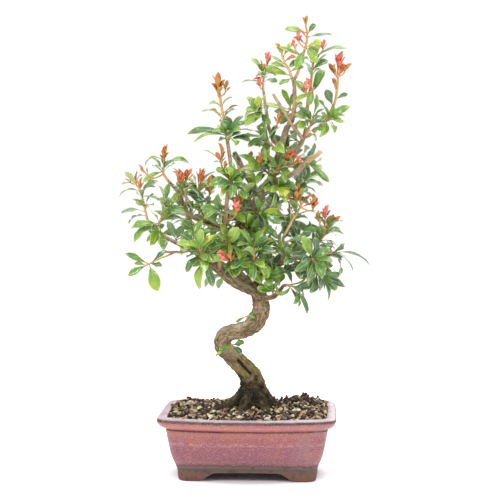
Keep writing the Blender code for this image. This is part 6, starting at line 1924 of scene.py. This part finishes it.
# %% Worn patches and specks
# Worn patches: the middle and the reach of each in millimetres, and how worn it is at most.
WORN = [((65.0, -62.0, 40.0), (13.0, 60.0, 22.0), 0.42), ((-74.0, -60.0, 42.0), (2.6, 40.0, 12.0), 0.4),
        ((84.0, -70.0, 62.0), (12.0, 60.0, 9.0), 0.5)]
for middle, reach, most in WORN:
    centre = POT_MIDDLE + Vector(middle) * MM
    scale = [1 / (r * MM) for r in reach]
    local = add_node(tree, "Mapping", {
        "Vector": place, "Location": [-c * s for c, s in zip(centre, scale)], "Scale": scale})
    away = add_node(tree, "VectorMath", {0: local}, operation="LENGTH").outputs["Value"]
    rough_away = add_node(tree, "Math", {0: wander, 1: 0.3, 2: away}, operation="MULTIPLY_ADD")
    worn_colour = tinted(tree, worn_colour, [(rough_away, (1.15, 0.4, 0.0, most), "80686A")])
# Real specks are a few tenths of a millimetre wide. These are about 1.2 mm, so that they show.
spotted = tinted(tree, worn_colour, [
    (fine, (0.53, 0.66, 0.0, 0.46), "C99A98"), (fine, (0.46, 0.33, 0.0, 0.66), "5A3038")])
glazed = add_node(tree, "MapRange", {"Value": moved_level}, span=(18.4, 19.4, 0.0, 1.0))
clay_tone = tinted(tree, bands, [(edge_noise, (0.5, 0.68, 0.0, 0.7), "3A2A24")])
pot_colour = add_node(tree, "MixRGB", {"Fac": glazed, "Color1": clay_tone, "Color2": spotted})
dullness = add_node(tree, "MapRange", {"Value": glazed}, span=(0.0, 1.0, 0.8, 0.4))
pits = add_node(tree, "Math", {0: fine, 1: 0.4, 2: edge_noise}, operation="MULTIPLY_ADD")
bump = add_node(tree, "Bump", {"Height": pits, "Strength": 0.35, "Distance": 0.5 * MM})
plug(tree, shader, {"Base Color": pot_colour, "Roughness": dullness, "Normal": bump})
fine_pot.name = "stoneware_pot"
fine_pot.data.materials.append(glaze)
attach(fine_pot, "root")
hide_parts("pot")
print("glaze nodes:", len(tree.nodes))

# %% [markdown]
# ## The soil
# Bonsai soil is a loose mix: pale pumice, tan baked clay and dark bark, in grains of 2 to 8 mm.
# A dark uneven bed lies just below the level of the soil, and thousands of separate grains lie
# on it, because the gaps and shadows between the grains are what make it look like grit. The
# bed's dark colour is painted shade for those gaps.

# %% The level of the soil
SOIL_FRONT = 73.6 * MM
SOIL_RISE = 5.0 * MM
SOIL_INSET = 12.2 * MM
SOIL_CORNER = 8.0 * MM
# The lowest rings of the bed, as an inset and a height in millimetres.
SOIL_BOTTOM = [(25.6, 22.6), (31.0, 18.6)]
# Mounds: the middle across and back, how far each reaches and how high it rises.
BARK_HEAP = (61.5 * MM, 38.0 * MM, 18.0 * MM, 6.5 * MM)
ROOT_MOUND = (2.3 * MM, 8.0 * MM, 38.0 * MM, 4.5 * MM)
BED_DEPTH = 2.6 * MM
BED_RINGS = 26
# The grit has sunk a little along the wall of the pot.
WALL_DROP = 1.2 * MM
WALL_REACH = 5 * MM


def soil_level(x, y):
    """The level of the soil: it rises to the back, round the trunk and at the bark heap."""
    level = SOIL_FRONT + SOIL_RISE * clamp((y + RIM_HALF_DEPTH) / (1.6 * RIM_HALF_DEPTH))
    for middle_x, middle_y, size, rise in (BARK_HEAP, ROOT_MOUND):
        level += rise * fade(math.hypot(x - middle_x, y - middle_y), size)
    edge = min(RIM_HALF_WIDTH - SOIL_INSET - abs(x), RIM_HALF_DEPTH - SOIL_INSET - abs(y))
    level -= WALL_DROP * math.exp(-max(0.0, edge) / WALL_REACH)
    sag = 0.6 * RIM_SAG * (1 - (x / RIM_HALF_WIDTH) ** 2) * max(0.0, abs(y) / RIM_HALF_DEPTH * 2 - 0.9)
    return level - sag


bed_width = RIM_HALF_WIDTH - SOIL_INSET
bed_depth = RIM_HALF_DEPTH - SOIL_INSET
rings = []
for inset, height in reversed(SOIL_BOTTOM):
    flat = ring_plan(RIM_HALF_WIDTH - inset * MM, RIM_HALF_DEPTH - inset * MM, SOIL_CORNER)
    rings.append([Vector((x, y, height * MM)) for x, y in flat])
outer = ring_plan(bed_width, bed_depth, SOIL_CORNER)
for k in range(BED_RINGS):
    share = 1 - k / BED_RINGS
    ring = []
    for x, y in [(share * x, share * y) for x, y in outer]:
        rough = 1.3 * MM * noise.noise(Vector((x, y, 0)) * 260)
        rough += 0.8 * MM * noise.noise(Vector((x, y, 5)) * 90)
        ring.append(Vector((x, y, soil_level(x, y) - BED_DEPTH + rough)))
    rings.append(ring)
bed_points, bed_faces = loft(rings)
bed_points = [p + POT_MIDDLE for p in bed_points]
print("bed of soil:", len(bed_faces), "faces")

# %% [markdown]
# ## Colours of the mix
# Every grain keeps one random number. The number picks its kind, and small noise adds the pores.
# Pumice, baked clay and dry bark are all broken and porous, so nothing here shines. Real pores are
# a few tenths of a millimetre wide, and these are 1.4 to 2.4 mm, so that they show.

# %% The grit materials
def grainy_material(name, scale, stops, shade, strength, depth, **values):
    """A material with fine grain. Each body's tone picks its colour, or else the grain alone does."""
    material, tree, shader = start_material(name, **values)
    place = add_node(tree, "TexCoord").outputs["Object"]
    grain = add_node(tree, "TexNoise", {"Vector": place, "Scale": scale, "Detail": 4.0, "Roughness": 0.7})
    if shade:
        tone = add_node(tree, "Attribute", attribute_name="tone").outputs["Fac"]
        kinds = add_node(tree, "ValToRGB", {"Fac": tone}, stops)
        kinds.color_ramp.interpolation = "CONSTANT" if len(stops) > 10 else "LINEAR"
        light = add_node(tree, "MapRange", {"Value": grain}, span=shade)
        colour = add_node(tree, "VectorMath", {0: kinds, "Scale": light}, operation="SCALE")
    else:
        colour = add_node(tree, "ValToRGB", {"Fac": grain}, stops)
    bump = add_node(tree, "Bump", {"Height": grain, "Strength": strength, "Distance": depth})
    plug(tree, shader, {"Base Color": colour, "Normal": bump})
    print(name, "nodes:", len(tree.nodes))
    return material


grit = grainy_material("dry potting grit", 700.0, [
    (0.0, "1E1714"), (0.15, "33261F"), (0.27, "584640"), (0.38, "785E54"), (0.48, "927864"),
    (0.57, "AE946C"), (0.65, "C0A87A"), (0.73, "D2C094"), (0.81, "E0D2AC"), (0.89, "F0E8D0"),
    (0.95, "A67E62"), (0.98, "A29A94")],
    (0.32, 0.68, 0.4, 1.35), 0.6, 0.4 * MM, Roughness=0.9)
# The bed is painted nearly black: painted shade for the deep gaps between the grains.
gap_shade_bed = grainy_material("dark soil dust", 480.0, [
    (0.35, "120D0A"), (0.5, "221912"), (0.62, "3E2F22"), (0.75, "6A563E")], (), 0.9, 0.9 * MM, Roughness=0.95)
fibrous = grainy_material("dry bark chips", 420.0, [
    (0.0, "1E1715"), (0.35, "33261F"), (0.6, "4B382C"), (0.85, "6A5342"), (1.0, "8A7058")],
    (0.3, 0.7, 0.5, 1.35), 0.8, 0.6 * MM, Roughness=0.85)

# %% The bed
soil_bed = bare_object("soil_bed", bed_points, bed_faces)
soil_bed.data.shade_smooth()
soil_bed.data.materials.append(gap_shade_bed)
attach(soil_bed, "root")
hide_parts("soil")
print("bed points:", len(soil_bed.data.vertices))

# %% [markdown]
# ## Stones and chips
# Six knobbly stones and four splinters of bark are enough: turned and scaled at random they never
# look alike. Each has only a few dozen faces, because it is repeated a thousand times.

# %% A few stones and chips to repeat
CHIP_CORNERS = [(-1, -0.6), (0, -1), (1, -0.5), (0.9, 0.6), (0.1, 1), (-0.9, 0.5)]


def stone(name, seed, stretch, faces):
    """A knobbly stone of size one."""
    bm = bmesh.new()
    bmesh.ops.create_icosphere(bm, subdivisions=faces, radius=0.5)
    for vertex in bm.verts:
        swell = 1 + 0.6 * noise.noise(vertex.co * 1.8 + Vector((seed, 0, 0)))
        swell += 0.4 * noise.noise(vertex.co * 4 + Vector((0, seed, 0)))
        vertex.co = vertex.co * Vector(stretch) * swell
    mesh = bpy.data.meshes.new(name)
    bm.to_mesh(mesh)
    bm.free()
    return mesh


def chip(name, seed, length, width, thickness):
    """A splinter of bark of length about one, with torn ends."""
    rng = random.Random(seed)
    rings = []
    for k in range(6):
        t = k / 5
        half = width / 2 * (1 - 0.75 * abs(2 * t - 1) ** 2.5) * rng.uniform(0.8, 1.15)
        lift = rng.uniform(-0.04, 0.04)
        drift = rng.uniform(-0.05, 0.05)
        rings.append([Vector(((t - 0.5) * length, drift + a * half, lift + b * thickness / 2))
                      for a, b in CHIP_CORNERS])
    points, faces = loft(rings)
    mesh = bpy.data.meshes.new(name)
    mesh.from_pydata([tuple(p) for p in points], [], faces)
    bm = bmesh.new()
    bm.from_mesh(mesh)
    bmesh.ops.recalc_face_normals(bm, faces=bm.faces)
    bm.to_mesh(mesh)
    bm.free()
    return mesh


def gather(name, meshes):
    """A collection of small objects for a scatter to pick from."""
    group = bpy.data.collections.new(name)
    for mesh in meshes:
        group.objects.link(bpy.data.objects.new(mesh.name, mesh))
    return group


stones = gather("stones", [stone("stone_%d" % k, 3.7 * k + 1, s, 2) for k, s in enumerate(
    [(1.2, 0.65, 0.4), (0.95, 0.8, 0.5), (1.45, 0.5, 0.35), (0.9, 0.8, 0.7), (1.35, 0.6, 0.45),
     (1.0, 0.9, 0.4)])])
pebbles = gather("pebbles", [stone("pebble_%d" % k, 5.1 * k + 2, s, 1) for k, s in enumerate(
    [(1.2, 0.7, 0.5), (0.9, 0.9, 0.6), (1.5, 0.5, 0.4)])])
chips = gather("chips", [chip("chip_%d" % k, 20 + k, *s) for k, s in enumerate(
    [(1.1, 0.5, 0.26), (0.9, 0.6, 0.2), (1.2, 0.36, 0.3), (0.8, 0.5, 0.34)])])

# %% [markdown]
# ## Strewing the grains
# One node tree strews any of them: points at a least distance on the surface, one shape picked
# for each, turned any way, scaled between two sizes and lifted a little. A mask on the surface
# says how dense they lie.

# %% The strewing tree
STREWING_SIZES = ("Least distance", "Grains per square metre", "Smallest", "Largest", "Lift", "Steepest",
                  "Palest", "Seed")


def strewing_tree(name, group, material, sizes):
    """A node tree that strews a collection over a surface."""
    tree, start = start_scatter(name, sizes)
    mask = add_node(tree, "GeometryNodeInputNamedAttribute", {"Name": "cover"}, data_type="FLOAT")
    spots = add_node(tree, "GeometryNodeDistributePointsOnFaces", {
        "Mesh": start["Geometry"], "Distance Min": start["Least distance"],
        "Density Max": start["Grains per square metre"], "Density Factor": mask.outputs["Attribute"],
        "Seed": start["Seed"]}, distribute_method="POISSON")
    kinds = add_node(tree, "GeometryNodeCollectionInfo", {
        "Collection": group, "Separate Children": True, "Reset Children": True})
    most = add_node(tree, "CombineXYZ", {"X": start["Steepest"], "Y": start["Steepest"], "Z": 3.14})
    least = add_node(tree, "VectorMath", {0: most, "Scale": -1.0}, operation="SCALE")
    turn = add_node(tree, "FunctionNodeRandomValue", {0: least, 1: most, "Seed": 5}, data_type="FLOAT_VECTOR")
    which = add_node(tree, "FunctionNodeRandomValue", {4: 0, 5: 50, "Seed": 9}, data_type="INT")
    size = add_node(tree, "FunctionNodeRandomValue", {
        2: start["Smallest"], 3: start["Largest"], "Seed": 6}, data_type="FLOAT")
    strewn = add_node(tree, "GeometryNodeInstanceOnPoints", {
        "Points": spots, "Instance": kinds, "Pick Instance": True, "Instance Index": which.outputs[2],
        "Rotation": turn, "Scale": size.outputs[1]})
    rise = add_node(tree, "CombineXYZ", {"Z": start["Lift"]})
    lifted = add_node(tree, "GeometryNodeTranslateInstances", {
        "Instances": strewn, "Translation": rise, "Local Space": False})
    end_scatter(tree, lifted, start["Palest"], 7, material)
    return tree


def strew(name, group, material, cover, values):
    """Strew one layer over the top of the bed. The values follow the order of STREWING_SIZES."""
    sizes = dict(zip(STREWING_SIZES, values))
    top = [f for f in bed_faces if all(bed_points[k].z > 60 * MM for k in f)]
    ground = bare_object(name, bed_points, top)
    keep_values(ground.data, "cover", [cover(p - POT_MIDDLE) for p in bed_points])
    run_scatter(ground, strewing_tree(name, group, material, sizes), sizes)
    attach(ground, "root")
    print(name, "faces:", len(ground.data.polygons))


def heap_share(place):
    """How much of a place belongs to the heap of bark."""
    return fade(math.hypot(place.x - BARK_HEAP[0], place.y - BARK_HEAP[1]), 1.15 * BARK_HEAP[2])


def chip_share(place):
    """How many chips lie at a place: most on the heap, some on the right and far left."""
    right = 0.2 * clamp(place.x / (60 * MM))
    left = 0.42 * fade(math.hypot(place.x + 72 * MM, place.y - 5 * MM), 22 * MM)
    return min(1.0, 0.07 + 0.9 * heap_share(place) + right + left)


# %% Strewing three sizes
strew("grit_grains", stones, grit, lambda place: 1 - 0.6 * chip_share(place),
      (2.5 * MM, 110000.0, 2.8 * MM, 7.2 * MM, 1.7 * MM, 0.8, 1.0, 3))
strew("grit_crumbs", pebbles, grit, lambda place: 0.5,
      (1.5 * MM, 160000.0, 1.6 * MM, 3.4 * MM, 0.6 * MM, 0.9, 0.7, 8))
strew("bark_chips", chips, fibrous, chip_share,
      (3.4 * MM, 60000.0, 6.0 * MM, 13.0 * MM, 1.6 * MM, 1.5, 1.0, 12))
for group in (stones, pebbles, chips):
    for obj in list(group.objects):
        bpy.data.objects.remove(obj)
    bpy.data.collections.remove(group)

# %% [markdown]
# ## The drain screens
# Two squares of moulded black plastic grid keep the grit from falling out through the holes.
# Their shape in the solids is right, so they only get their material, with the soft highlights
# of a moulded grain about 1 mm wide.

# %% The plastic of the screens
screen_plastic = grainy_material("moulded black polythene", 900.0, [(0.4, "1C1D1F"), (0.7, "34363A")], (),
                                 0.3, 0.2 * MM, Roughness=0.6, IOR=1.5)
for name in ("drain_screen_1", "drain_screen_2"):
    screen = bpy.data.objects[name]
    for slot in screen.material_slots:
        slot.material = screen_plastic
print("screens done")

# %% [markdown]
# ## Studio
# The tree stands on a plain pale floor before plain white, in soft light: one large lamp from the
# left in front, a weaker one from the right and one above. The lamps also make the highlights on
# the waxy leaves. The floor glows a little, so that it stays as white as the wall behind it.

# %% Floor and lights
FLOOR_GLOW = 0.6
SHADOW_HALF = (0.085, 0.065)
WALL_BRIGHTNESS = 1.02
ROOM_LIGHT = 0.55
WINDOW_LIGHT = 0.35
# Lamps: name, place and size in metres, and power in watts.
LIGHTS = [("key", (-1.0, -1.5, 1.5), 0.9, 26.0), ("fill", (1.5, -1.1, 0.9), 0.9, 9.0),
          ("top", (0.2, 0.1, 1.9), 1.3, 18.0), ("back", (0.6, 1.8, 1.2), 1.0, 12.0)]
bpy.ops.mesh.primitive_plane_add(size=14)
floor = bpy.context.active_object
floor.name = "studio_floor"
floor_paint, tree, shader = start_material("pale floor", Roughness=0.9, Base_Color=linear("F4F3F5"),
    Emission_Color=linear("FFFDFF"))
around = add_node(tree, "TexCoord").outputs["Object"]
squeezed = add_node(tree, "Mapping", {
    "Vector": around, "Location": (-POT_MIDDLE.x / SHADOW_HALF[0], -POT_MIDDLE.y / SHADOW_HALF[1], 0),
    "Scale": (1 / SHADOW_HALF[0], 1 / SHADOW_HALF[1], 1)})
away = add_node(tree, "VectorMath", {0: squeezed}, operation="LENGTH")
glow = add_node(tree, "MapRange", {
    "Value": away.outputs["Value"], "From Min": 0.9, "From Max": 1.25, "To Min": 0.0, "To Max": FLOOR_GLOW})
plug(tree, shader, {"Emission Strength": glow})
floor.data.materials.append(floor_paint)
world = bpy.data.worlds.new("studio")
bpy.context.scene.world = world
world.use_nodes = True
tree = world.node_tree
straight = add_node(tree, "LightPath")
brightness = add_node(tree, "MapRange", {
    "Value": straight.outputs["Is Camera Ray"], "To Min": ROOM_LIGHT, "To Max": WALL_BRIGHTNESS})
with_windows = add_node(tree, "Math", {
    0: straight.outputs["Is Glossy Ray"], 1: WINDOW_LIGHT, 2: brightness}, operation="MULTIPLY_ADD")
plug(tree, tree.nodes["Background"], {"Strength": with_windows, "Color": (1.0, 1.0, 1.0, 1.0)})
for name, spot, size, power in LIGHTS:
    light = bpy.data.lights.new(name, "AREA")
    light.size = size
    light.energy = power
    lamp = bpy.data.objects.new(name, light)
    lamp.location = Vector(spot)
    lamp.rotation_euler = (Vector((0, 0, 0.25)) - lamp.location).to_track_quat("-Z", "Y").to_euler()
    bpy.context.scene.collection.objects.link(lamp)
bpy.context.scene.view_settings.view_transform = "Standard"
print("lights:", len(LIGHTS))

# %% [markdown]
# ## Sizes
# The finished look stays inside the box of the solids. The size of that box is written down.

# %% Sizes and the end
print("solids:", [round(v / MM, 1) for v in solid_box[1] - solid_box[0]])
